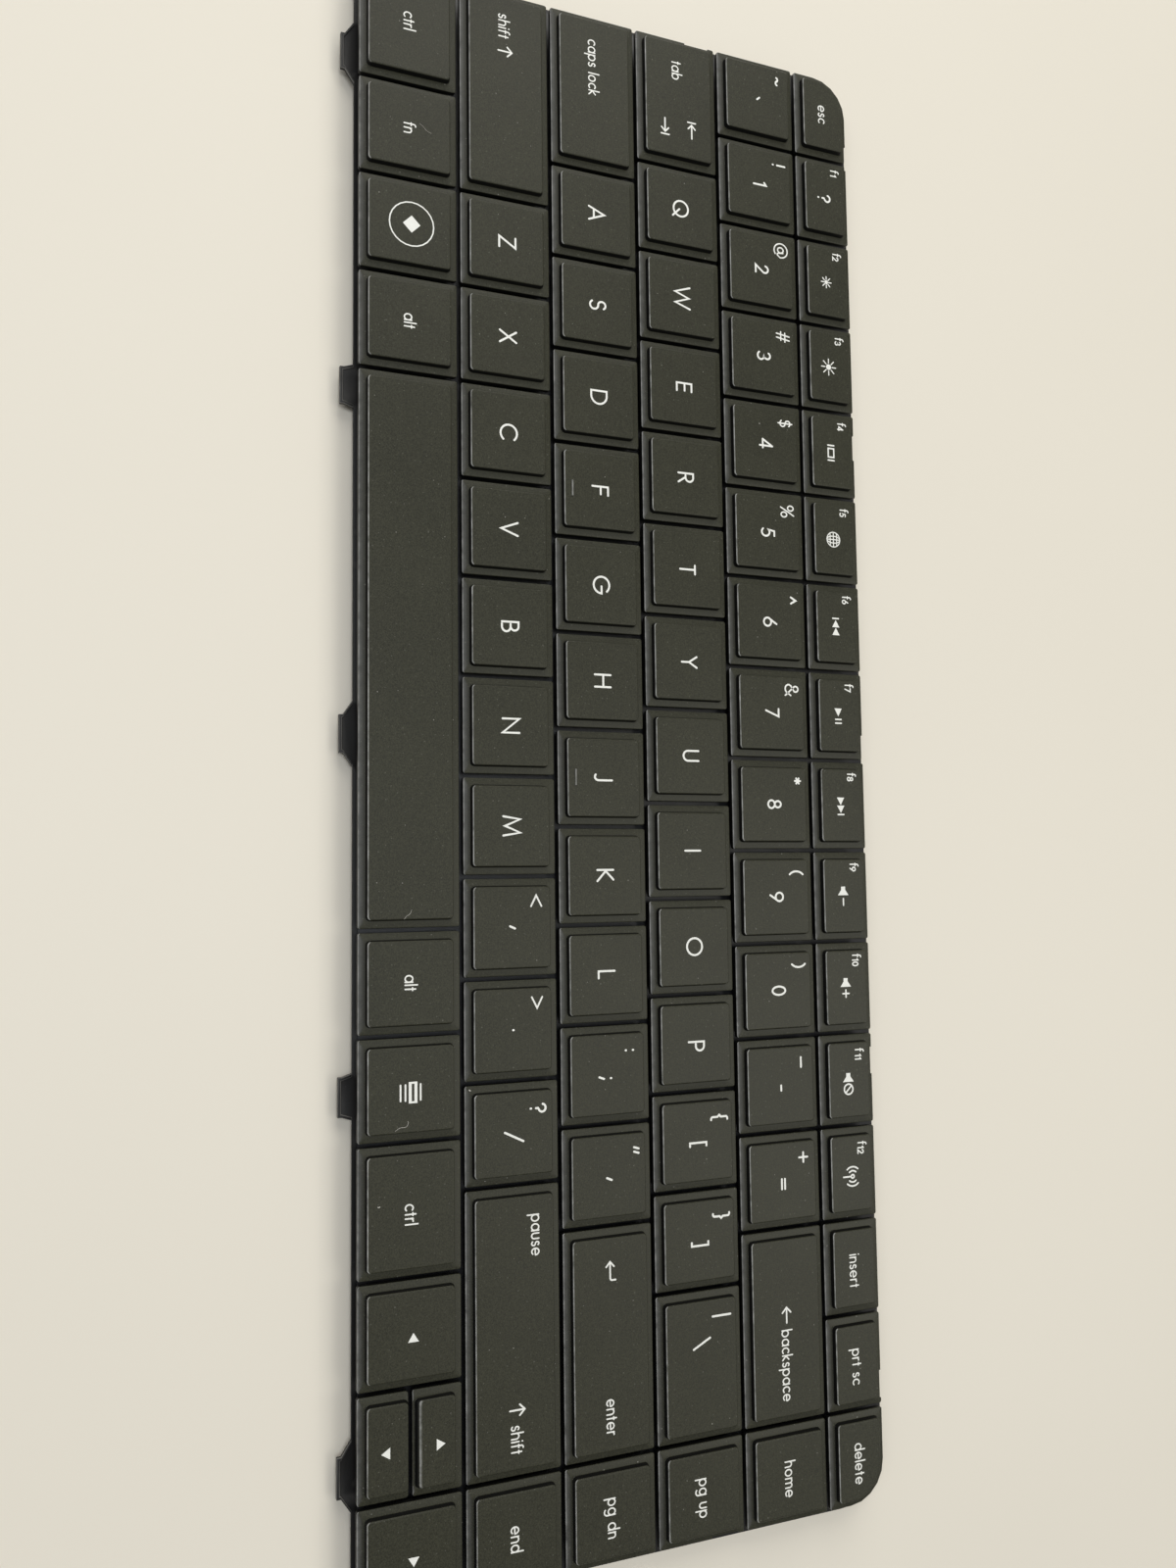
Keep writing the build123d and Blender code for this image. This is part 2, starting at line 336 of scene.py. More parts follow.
def start_tree(name, sizes):
    """A geometry tree with named inputs for its sizes. Returns a wire to add nodes, and its inputs."""
    tree = bpy.data.node_groups.new(name, "GeometryNodeTree")
    tree.interface.new_socket("Geometry", in_out="OUTPUT", socket_type="NodeSocketGeometry")
    tree.interface.new_socket("Points", in_out="INPUT", socket_type="NodeSocketGeometry")
    for label, kind in sizes.items():
        tree.interface.new_socket(label, in_out="INPUT", socket_type="NodeSocket" + kind)
    inlet = Wire(tree).node("NodeGroupInput")
    return inlet, {label: inlet.out(label) for label in sizes}


def end_tree(geometry, material):
    """Makes instances real, gives them their material and ends the tree."""
    real = geometry.node("GeometryNodeRealizeInstances", {0: geometry})
    finished = real.node("GeometryNodeSetMaterial", {"Geometry": real, "Material": material})
    finished.into(finished.tree.nodes.new("NodeGroupOutput").inputs[0])
    return finished.tree


def at_points(inlet, shape):
    """One copy of a shape on each point that the tree is given."""
    return inlet.node("GeometryNodeInstanceOnPoints", {"Points": inlet.out("Points"), "Instance": shape})


def grown(tree, points, sizes, links=()):
    """The plain mesh that a tree makes at these points, or along their links, with these sizes."""
    seeds = bpy.data.meshes.new("seeds")
    seeds.from_pydata(points, links, [])
    carrier = add_object("carrier", seeds)
    modifier = carrier.modifiers.new("form", "NODES")
    modifier.node_group = tree
    for item in tree.interface.items_tree:
        if item.in_out == "INPUT" and item.name in sizes:
            modifier[item.identifier] = sizes[item.name]
    mesh = made_plain(carrier)
    bpy.data.meshes.remove(seeds)
    coat(mesh, mesh.materials[-1])
    return mesh


def pick(level, values):
    """The value that stands at this level's place in a list."""
    made = level.tree.nodes.new("GeometryNodeIndexSwitch")
    made.data_type = "FLOAT"
    for _ in values[2:]:
        made.index_switch_items.new()
    level.into(made.inputs[0])
    for socket, value in zip(made.inputs[1:], values):
        socket.default_value = value
    return Wire(level.tree, made.outputs[0])


def grid(wire, columns, levels):
    """A sheet of columns and levels to be wrapped into a body, with each point's column and level."""
    counts = {"Size X": 1.0, "Size Y": 1.0, "Vertices X": columns + 1, "Vertices Y": levels}
    sheet = wire.node("GeometryNodeMeshGrid", counts)
    spot = wire.node("GeometryNodeInputPosition")
    along = spot.node("ShaderNodeSeparateXYZ", {0: spot}, "X")
    across = (along + 0.5) * columns
    up = (along.out("Y") + 0.5) * (levels - 1)
    return sheet, across.math("ROUND"), up.math("ROUND")


def wrapped(sheet, x, y, z):
    """Moves the sheet's points to their places and closes its seam."""
    spot = x.node("ShaderNodeCombineXYZ", {0: x, 1: y, 2: z})
    body = sheet.node("GeometryNodeSetPosition", {"Geometry": sheet, "Position": spot})
    return body.node("GeometryNodeMergeByDistance", {"Geometry": body, "Distance": 0.001 * MM})


SILICONE = (0.36, 0.37, 0.38)
SILICONE_SHADE = (0.28, 0.29, 0.30)
dome_rubber, _, _ = mottled("dome_silicone", 1.2 * MM, 3.0, SILICONE_SHADE, SILICONE, 0.65, 0.45)
DOME_SECTION = [(0, 0), (3.0, 0), (3.0, 0.3), (2.7, 0.42), (2.1, 1.6), (1.65, 2.5)]
DOME_SECTION += [(1.3, 2.85), (0.95, 2.95), (0.9, 3.7), (0.75, 3.84), (0, 3.84)]
DOME_SIDES = 20
inlet, _ = start_tree("rubber_dome", {})
sheet, column, level = grid(inlet, DOME_SIDES, len(DOME_SECTION))
angle = column * (2 * pi / DOME_SIDES)
reach = pick(level, [radius * MM for radius, _ in DOME_SECTION])
x = reach * angle.math("COSINE")
y = reach * angle.math("SINE")
z = pick(level, [rise * MM for _, rise in DOME_SECTION])
dome_tree = end_tree(at_points(inlet, wrapped(sheet, x, y, z)), dome_rubber)


def on_film(name, back=0.0, lift=0.0):
    """The point on the membrane under a key's middle."""
    return (cells[name][0], cells[name][1] + back, FILM_TOP + lift)


def add_works(label, name, mesh, node):
    """A piece under one moving key, on the chassis, with a mesh of its own."""
    smooth(mesh)
    piece = add_piece(f"{label}_{name}", mesh, "chassis", [node])
    "press_" + name
    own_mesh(piece)


for name in moving:
    add_works("dome", name, grown(dome_tree, [on_film(name)], {}), "rubber_domes")
mesh = grown(dome_tree, [on_film(name) for name in fixed], {})
smooth(mesh)
add_piece("domes_of_fixed_keys", mesh, "chassis", ["rubber_domes"])


# Scissor links
# Two moulded forks, one inside the other, cross under every keycap and keep it level as it moves.
# Each has its feet on the membrane at one end and a cross-bar under the cap at the other.
LINK_ROOM = 3.9 * MM
LINK_CLEARANCE = 0.05 * MM
LINK_THICKNESS = 0.7 * MM
LINK_BAR = 0.8 * MM
LINK_EDGE = 0.12 * MM
OUTER_WIDTH = 10.4 * MM
INNER_WIDTH = 8.2 * MM
LINK_TILT = radians(20)
SHORT_LINK_TILT = radians(36)
LINK_BLACK = (0.020, 0.020, 0.021)
LINK_GREY = (0.034, 0.034, 0.035)
link_plastic, _, _ = mottled("link_plastic", 1.5 * MM, 3.0, LINK_BLACK, LINK_GREY, 0.55, 0.30)


def fork_tree(name, section, material):
    """A U-shaped fork swept along its centre line, tilted, with its feet towards the front."""
    sizes = {"Width": "Float", "Length": "Float", "Bar": "Float", "Thickness": "Float"}
    inlet, size = start_tree(name, {**sizes, "Tilt": "Float", "Turn": "Float", "Lift": "Float"})
    side = (size["Width"] - size["Bar"]) * 0.5
    foot = size["Length"] * -0.5
    bar = (size["Length"] - size["Bar"]) * 0.5
    ends = [(side * -1, foot), (side * -1, bar), (side, bar), (side, foot)]
    corners = {
        f"Point {n + 1}": inlet.node("ShaderNodeCombineXYZ", {0: x, 1: y})
        for n, (x, y) in enumerate(ends)
    }
    loop = inlet.node("GeometryNodeCurvePrimitiveQuadrilateral", corners, mode="POINTS")
    path = loop.node("GeometryNodeSetSplineCyclic", {"Geometry": loop, "Cyclic": False})
    turns = {"Curve": path, "Count": 3, "Radius": size["Bar"] * 0.6}
    path = path.node("GeometryNodeFilletCurve", turns, mode="POLY")
    profile = section(inlet, size)
    swept = {"Curve": path, "Profile Curve": profile, "Fill Caps": True}
    flat = path.node("GeometryNodeCurveToMesh", swept)
    turned = inlet.node("ShaderNodeCombineXYZ", {0: size["Tilt"], 2: size["Turn"]})
    raised = inlet.node("ShaderNodeCombineXYZ", {2: size["Lift"]})
    moved = {"Geometry": flat, "Rotation": turned, "Translation": raised}
    fork = flat.node("GeometryNodeTransform", moved)
    return end_tree(at_points(inlet, fork), material)


def moulded_section(inlet, size):
    """An oblong with rounded corners."""
    sides = {"Width": size["Bar"], "Height": size["Thickness"]}
    oblong = inlet.node("GeometryNodeCurvePrimitiveQuadrilateral", sides)
    turns = {"Curve": oblong, "Count": 2, "Radius": LINK_EDGE}
    return oblong.node("GeometryNodeFilletCurve", turns, mode="POLY")


def fork_sizes(width, bar, thickness, tilt, turn):
    """Sizes of a fork whose ends reach from the membrane to the cap at this tilt."""
    room = LINK_ROOM - 2 * LINK_CLEARANCE
    length = (room - thickness * cos(tilt)) / sin(tilt)
    sizes = {"Width": width, "Length": length, "Bar": bar, "Thickness": thickness}
    return {**sizes, "Tilt": tilt, "Turn": turn, "Lift": LINK_ROOM / 2}


link_tree = fork_tree("scissor_fork", moulded_section, link_plastic)
for label, width, turn in [("outer_link", OUTER_WIDTH, 0.0), ("inner_link", INNER_WIDTH, pi)]:
    node = f"scissor_{label}s"
    long_sizes = fork_sizes(width, LINK_BAR, LINK_THICKNESS, LINK_TILT, turn)
    short_sizes = fork_sizes(width, LINK_BAR, LINK_THICKNESS, SHORT_LINK_TILT, turn)
    for name in moving:
        add_works(label, name, grown(link_tree, [on_film(name)], long_sizes), node)
    for size_name, sizes, short in [("deep", long_sizes, False), ("shallow", short_sizes, True)]:
        points = [on_film(name) for name in fixed if (cells[name][3] <= BACK_DEPTH) == short]
        mesh = grown(link_tree, points, sizes)
        smooth(mesh)
        add_piece(f"{label}s_of_{size_name}_fixed_keys", mesh, "chassis", [node])


# Stabilisers
# The five widest keys have a bent spring-steel wire as well, hooked to the cap and the plate,
# so that they go down level wherever they are pressed.
WIRE = 0.8 * MM
WIRE_INSET = 4.0 * MM
WIRE_SHIFT = 1.6 * MM
STABILISED_UNITS = 2
STEEL = (0.46, 0.46, 0.47)
DULL_STEEL = (0.30, 0.30, 0.31)
spring_wire, _, _ = mottled("spring_wire", 0.7 * MM, 3.0, DULL_STEEL, STEEL, 0.42, 0.22, 1.0)


def wire_section(inlet, size):
    """A round wire."""
    return inlet.node("GeometryNodeCurvePrimitiveCircle", {"Resolution": 8, "Radius": size["Bar"] * 0.5})


wire_tree = fork_tree("stabiliser_wire", wire_section, spring_wire)
for name in [key for key in cells if cells[key][2] >= STABILISED_UNITS * PITCH]:
    sizes = fork_sizes(cells[name][2] - GAP - 2 * WIRE_INSET, WIRE, WIRE, LINK_TILT, 0.0)
    mesh = grown(wire_tree, [on_film(name, WIRE_SHIFT)], sizes)
    if name in moving:
        add_works("stabiliser", name, mesh, "stabiliser_bars")
    else:
        smooth(mesh)
        add_piece(f"stabiliser_{name}", mesh, "chassis", ["stabiliser_bars"])


# Keycaps
# Each cap is one hollow moulding of black plastic with a fine spark-eroded grain: a low flange
# all round, and a plateau on it whose crest is rounded, with a painted highlight along its front.
FLANGE = 1.3 * MM
SKIRT = 1.3 * MM
STEP = 1.1 * MM
STEP_RUN = 0.2 * MM
WALL = 0.9 * MM
CAVITY = 1.55 * MM
LIP_ROUND = 0.15 * MM
CREST_ROUND = 0.22 * MM
ARROW_ROUND = 0.9 * MM
ARROW_LEAN = 0.15 * MM
UNDER_ROUND = 0.1 * MM
HOLD = 0.12 * MM
FLANGE_FALL = 0.18 * MM
FLANGE_CORNER = 0.45 * MM
PLATEAU_CORNER = 0.9 * MM
OUTER_CORNER = 8.0 * MM
CORNER_POINTS = 6
CAP_GREY = (0.048, 0.048, 0.030)
CAP_DARK = (0.016, 0.016, 0.0095)
CAP_SIDE_FINISH_AND_SHADE = (0.006, 0.006, 0.0055)
CAP_FRONT_SHEEN = (0.047, 0.047, 0.052)
CAP_GLINT = (0.10, 0.10, 0.08)
CAP_HIGHLIGHT = (0.55, 0.55, 0.53)
DUST = (0.30, 0.29, 0.26)
GLINT_SPACING = 1.2 * MM
DUST_SPACING = 5.0 * MM
SHADE_FOOT = 0.05 * MM
SHADE_TOP = 0.17 * MM
CREST_BAND = 0.13 * MM
SLACK = 0.01 * MM
SKIRT_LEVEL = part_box("keycap_a")[0].z
FLANGE_LEVEL = SKIRT_LEVEL + SKIRT
CAP_LEVEL = FLANGE_LEVEL + STEP
cap_plastic, cap, place = start_material("keycap_plastic", 0.5)


def flecks(place, spacing, gain, start):
    """Round spots scattered about this far apart, each with its own size and strength."""
    scattered = {"Vector": place, "Scale": 1 / spacing}
    cell = place.node("ShaderNodeTexVoronoi", scattered, voronoi_dimensions="2D")
    chance = cell.node("ShaderNodeSeparateColor", {0: cell.out("Color")}, "Red")
    return (cell < chance * gain - start) * (chance.out("Green") * 0.6 + 0.2)


spark = grain(place, 0.24 * MM, 2.0)
cloud = grain(place, 14 * MM, 2.0)
height = place.node("ShaderNodeSeparateXYZ", {0: place}, "Z")
facing = place.node("ShaderNodeSeparateXYZ", {0: place.out("Normal")}, "Y")
on_side = (height > FLANGE_LEVEL + SHADE_FOOT) * (height < CAP_LEVEL - SHADE_TOP)
on_skirt = height < FLANGE_LEVEL - FLANGE_FALL - LIP_ROUND
on_bar = height > CAP_LEVEL + SHADE_FOOT
to_front = facing.node("ShaderNodeClamp", {0: facing * -9 - 0.5})
on_crest = (height > CAP_LEVEL - CREST_BAND) * (height < CAP_LEVEL + SLACK)
flange_low = FLANGE_LEVEL - FLANGE_FALL - 0.8 * LIP_ROUND
on_flange = (height > flange_low) * (height < FLANGE_LEVEL + 2 * SLACK)
uneven = grain(place, 1.6 * MM, 3.0) * 1.4 - 0.15
# Front-facing crests and flange lips, and the homing bars, are painted lighter as a painted highlight,
# broken up by noise.
faces_front = facing.node("ShaderNodeClamp", {0: facing * -4 - 0.4})
painted_highlight = faces_front * (on_crest * 0.9 + on_flange * 0.7) + on_bar * 0.5
tone = two_colours(spark * 1.8 + cloud * 0.3 - 0.55, CAP_DARK, CAP_GREY)
# Flanges that face the front get a bluish painted sheen, in place of reflected light.
tone = tinted(tone, to_front * on_flange * 0.5, CAP_FRONT_SHEEN)
# Scattered light flecks are painted glints of the grain.
tone = tinted(tone, flecks(place, GLINT_SPACING, 0.20, 0.09), CAP_GLINT)
tone = tinted(tone, flecks(place, DUST_SPACING, 0.06, 0.036), DUST)
# The plateau's sides and the skirt are darkened: partly their smoother finish, partly painted shade.
tone = tinted(tone, on_side + on_skirt, CAP_SIDE_FINISH_AND_SHADE)
tinted(tone, painted_highlight * uneven, CAP_HIGHLIGHT).into(cap["Base Color"])
(spark * 0.2 + 0.34).into(cap["Roughness"])
cap["Specular IOR Level"].default_value = 0.25
bump(spark, 0.010 * MM, cap)

# Heights and insets of a cap's section, from the middle of its underside to the middle of its top.
CREST_TURN = [0, 30, 60, 90, 90, 90]
LIP_TURN = [0, 30, 60, 90]
rises = [CAVITY, CAVITY, 0.0, 0.0, UNDER_ROUND]
LIP_FROM = len(rises)
rises += [SKIRT - FLANGE_FALL - LIP_ROUND * (1 - sin(radians(a))) for a in LIP_TURN]
rises += [SKIRT - FLANGE_FALL * 0.9]
PLATEAU_FROM = len(rises)
rises += [SKIRT, SKIRT]
CREST_FROM = len(rises)
rises += [SKIRT + STEP for _ in CREST_TURN]
LEVELS = len(rises)
insets = [WALL + FLANGE, WALL + FLANGE, WALL, UNDER_ROUND]
insets += [0.0] * (LEVELS - len(insets))
lips = [0.0] * LIP_FROM + [LIP_ROUND * (1 - cos(radians(a))) for a in LIP_TURN]
lips += [LIP_ROUND + HOLD, -HOLD]
lips += [0.0] * (LEVELS - len(lips))
CAP_SIZES = ["Width", "Depth", "Front Flange", "Back Flange", "Front Round", "Front Lean"]
CAP_SIZES += ["Left Corner", "Right Corner"]
inlet, size = start_tree("two_tier_keycap", {label: "Float" for label in CAP_SIZES})
sheet, column, level = grid(inlet, 4 * CORNER_POINTS, LEVELS)
turn = column / CORNER_POINTS
corner = turn.math("FLOOR").math("MODULO", 4)
step = column.math("MODULO", CORNER_POINTS)
angle = (corner + step / (CORNER_POINTS - 1)) * (pi / 2)
diagonal = corner * (pi / 2) + pi / 4
right = diagonal.math("COSINE").math("SIGN")
back = diagonal.math("SINE").math("SIGN")
at_back = back > 0
flange = size["Front Flange"] + at_back * (size["Back Flange"] - size["Front Flange"])
crest_round = size["Front Round"] * (1 - at_back) + CREST_ROUND
from_crest = level > CREST_FROM - 0.5
turned_in = 1 - pick(level, [1.0] * CREST_FROM + [cos(radians(a)) for a in CREST_TURN])
held_in = pick(level, [0.0] * (LEVELS - 2) + [HOLD, HOLD])
crest = turned_in * CREST_ROUND + from_crest * STEP_RUN + held_in
front_crest = (turned_in * size["Front Round"] + from_crest * size["Front Lean"]) * (1 - at_back)
lip = pick(level, lips)
base = pick(level, insets)
on_plateau = level > PLATEAU_FROM - 0.5
inset_x = base + lip + crest + on_plateau * FLANGE
inset_y = base + lip * (flange > 0.0) + crest + front_crest + on_plateau * flange
corners = [FLANGE_CORNER] * PLATEAU_FROM + [PLATEAU_CORNER] * (LEVELS - PLATEAU_FROM)
plain_corner = pick(level, corners) - lip - crest
outer = size["Right Corner"] * (corner < 0.5) + size["Left Corner"] * corner.math("COMPARE", 1, 0.1)
radius = plain_corner.math("MAXIMUM", outer - inset_x)
x = right * (size["Width"] * 0.5 - inset_x - radius) + radius * angle.math("COSINE")
y = back * (size["Depth"] * 0.5 - inset_y - radius) + radius * angle.math("SINE")
fall = crest_round * (1 - pick(level, [1.0] * CREST_FROM + [sin(radians(a)) for a in CREST_TURN]))
z = pick(level, rises) - fall
closing = pick(level, [1.0] + [0.0] * (LEVELS - 2) + [1.0])
ridge = size["Width"] * 0.5 - size["Depth"] * 0.5
x = x * (1 - closing) + right * ridge.math("MAXIMUM", 0.0) * closing
slide = (size["Front Flange"] - size["Back Flange"]) * 0.5 * on_plateau
y = y * (1 - closing) + slide * closing
cap_tree = end_tree(at_points(inlet, wrapped(sheet, x, y, z)), cap_plastic)

HOMING_BAR = (3.3 * MM, 0.5 * MM, 0.4 * MM)
HOMING_TAPER = (0.06, 0.45)
HOMING_INSET = 1.7 * MM
HOMING_SHIFT = FLANGE + STEP_RUN + HOMING_INSET - (PITCH - GAP) / 2
inlet, _ = start_tree("homing_bar", {})
block = inlet.node("GeometryNodeMeshCube", {"Size": HOMING_BAR})
spot = inlet.node("GeometryNodeInputPosition")
along = spot.node("ShaderNodeSeparateXYZ", {0: spot}, "X")
upper = along.out("Z") > 0.0
narrow_x = along * (1 - upper * HOMING_TAPER[0])
narrow_y = along.out("Y") * (1 - upper * HOMING_TAPER[1])
narrow = inlet.node("ShaderNodeCombineXYZ", {0: narrow_x, 1: narrow_y, 2: along.out("Z")})
tapered = {"Geometry": block, "Position": narrow}
bar = block.node("GeometryNodeSetPosition", tapered)
homing_tree = end_tree(at_points(inlet, bar), cap_plastic)


def joined(meshes):
    """Several meshes of one material as one."""
    shape = bmesh.new()
    for mesh in meshes:
        shape.from_mesh(mesh)
    whole = bpy.data.meshes.new("joined")
    shape.to_mesh(whole)
    shape.free()
    whole.materials.append(meshes[0].materials[0])
    return whole


def cap_mesh(name):
    """The cap of one key, in its place."""
    x, y, width, depth = cells[name]
    sizes = {"Width": width - GAP, "Depth": depth - GAP}
    sizes["Front Flange"] = 0.0 if name == "up_arrow" else FLANGE
    sizes["Back Flange"] = 0.0 if name == "down_arrow" else FLANGE
    sizes["Front Round"] = ARROW_ROUND if name == "up_arrow" else 0.0
    sizes["Front Lean"] = ARROW_LEAN if name == "up_arrow" else 0.0
    sizes["Left Corner"] = OUTER_CORNER if name == "escape" else 0.0
    sizes["Right Corner"] = OUTER_CORNER if name == "delete" else 0.0
    body = grown(cap_tree, [(x, y, SKIRT_LEVEL)], sizes)
    if name in ["f", "j"]:
        bar = grown(homing_tree, [(x, y + HOMING_SHIFT, CAP_LEVEL)], {})
        body = joined([body, bar])
    return body


def notched(mesh, notches):
    """Cuts blocks, each given by its middle and size, out of a mesh."""
    cutter = bmesh.new()
    for middle, sizes in notches:
        form = Matrix.Translation(middle) @ Matrix.Diagonal((*sizes, 1))
        bmesh.ops.create_cube(cutter, size=1.0, matrix=form)
    blocks = bpy.data.meshes.new("notches")
    cutter.to_mesh(blocks)
    cutter.free()
    blocks.materials.append(mesh.materials[0])
    tool = add_object("notches", blocks)
    carrier = add_object("carrier", mesh)
    cut = carrier.modifiers.new("cut", "BOOLEAN")
    cut.object = tool
    cut.operation = "DIFFERENCE"
    cut.solver = "EXACT"
    finished = made_plain(carrier)
    bpy.data.objects.remove(tool)
    return finished


for name in moving:
    mesh = cap_mesh(name)
    smooth(mesh)
    add_piece("cap_" + name, mesh, "key_" + name, ["keycap_" + name])

NAVIGATION = ["home", "page_up", "page_down", "end", "left_arrow", "up_arrow", "down_arrow", "right_arrow"]
FUNCTIONS = [name for name, _ in ROWS[5]]
MODIFIERS = [name for name in fixed if name not in NAVIGATION + FUNCTIONS]
GROUPS = {"function_row": FUNCTIONS, "navigation": NAVIGATION, "modifier": MODIFIERS}
TAB_SHIFT = -2.8 * MM
TAB_PITCH = 66 * MM
NOTCH = 5.6 * MM
NOTCH_DEPTH = 0.4 * MM
SIDE_NOTCH_SHIFT = 5.0 * MM
half_width = ROW_UNITS / 2 * PITCH - GAP / 2
back_edge = cells["f1"][1] + (BACK_DEPTH - GAP) / 2
side_row = cells["tab"][1] + SIDE_NOTCH_SHIFT
middle = SKIRT_LEVEL + SKIRT / 2
tab_places = [TAB_SHIFT + TAB_PITCH * n for n in (-2, -1, 0, 1, 2)]
back_notch = (NOTCH, 2 * NOTCH_DEPTH, 2 * SKIRT)
side_notch = (2 * NOTCH_DEPTH, NOTCH, 2 * SKIRT)
NOTCHES = {
    "function_row": [((spot, back_edge, middle), back_notch) for spot in tab_places],
    "navigation": [((half_width, side_row, middle), side_notch)],
    "modifier": [((-half_width, side_row, middle), side_notch)],
}
for label, names in GROUPS.items():
    mesh = notched(joined([cap_mesh(name) for name in names]), NOTCHES[label])
    smooth(mesh)
    add_piece(f"{label}_caps", mesh, "chassis", [f"{label}_keycaps"])


# Legends
# Light grey pad-printed letters and signs in one thin even stroke, on the plateaus of the caps.
# A glyph is a width and its strokes, in shares of the height of a capital letter.
INK_THICKNESS = 0.02 * MM
INK = (0.93, 0.93, 0.88)
WORN_INK = (0.80, 0.80, 0.75)
legend_ink, _, _ = mottled("legend_ink", 0.5 * MM, 3.0, WORN_INK, INK, 0.70, 0.50)


def arc(x, y, across, up, start, end):
    """Points of an elliptical arc about x, y, from one angle to another in degrees."""
    steps = max(2, round(abs(end - start) / 15))
    turns = [radians(start + (end - start) * n / steps) for n in range(steps + 1)]
    return [(x + across * cos(a), y + up * sin(a)) for a in turns]


def ring(x, y, across, up):
    """A closed ellipse."""
    points = arc(x, y, across, up, 90, 450)
    return points[:-1] + points[:1]


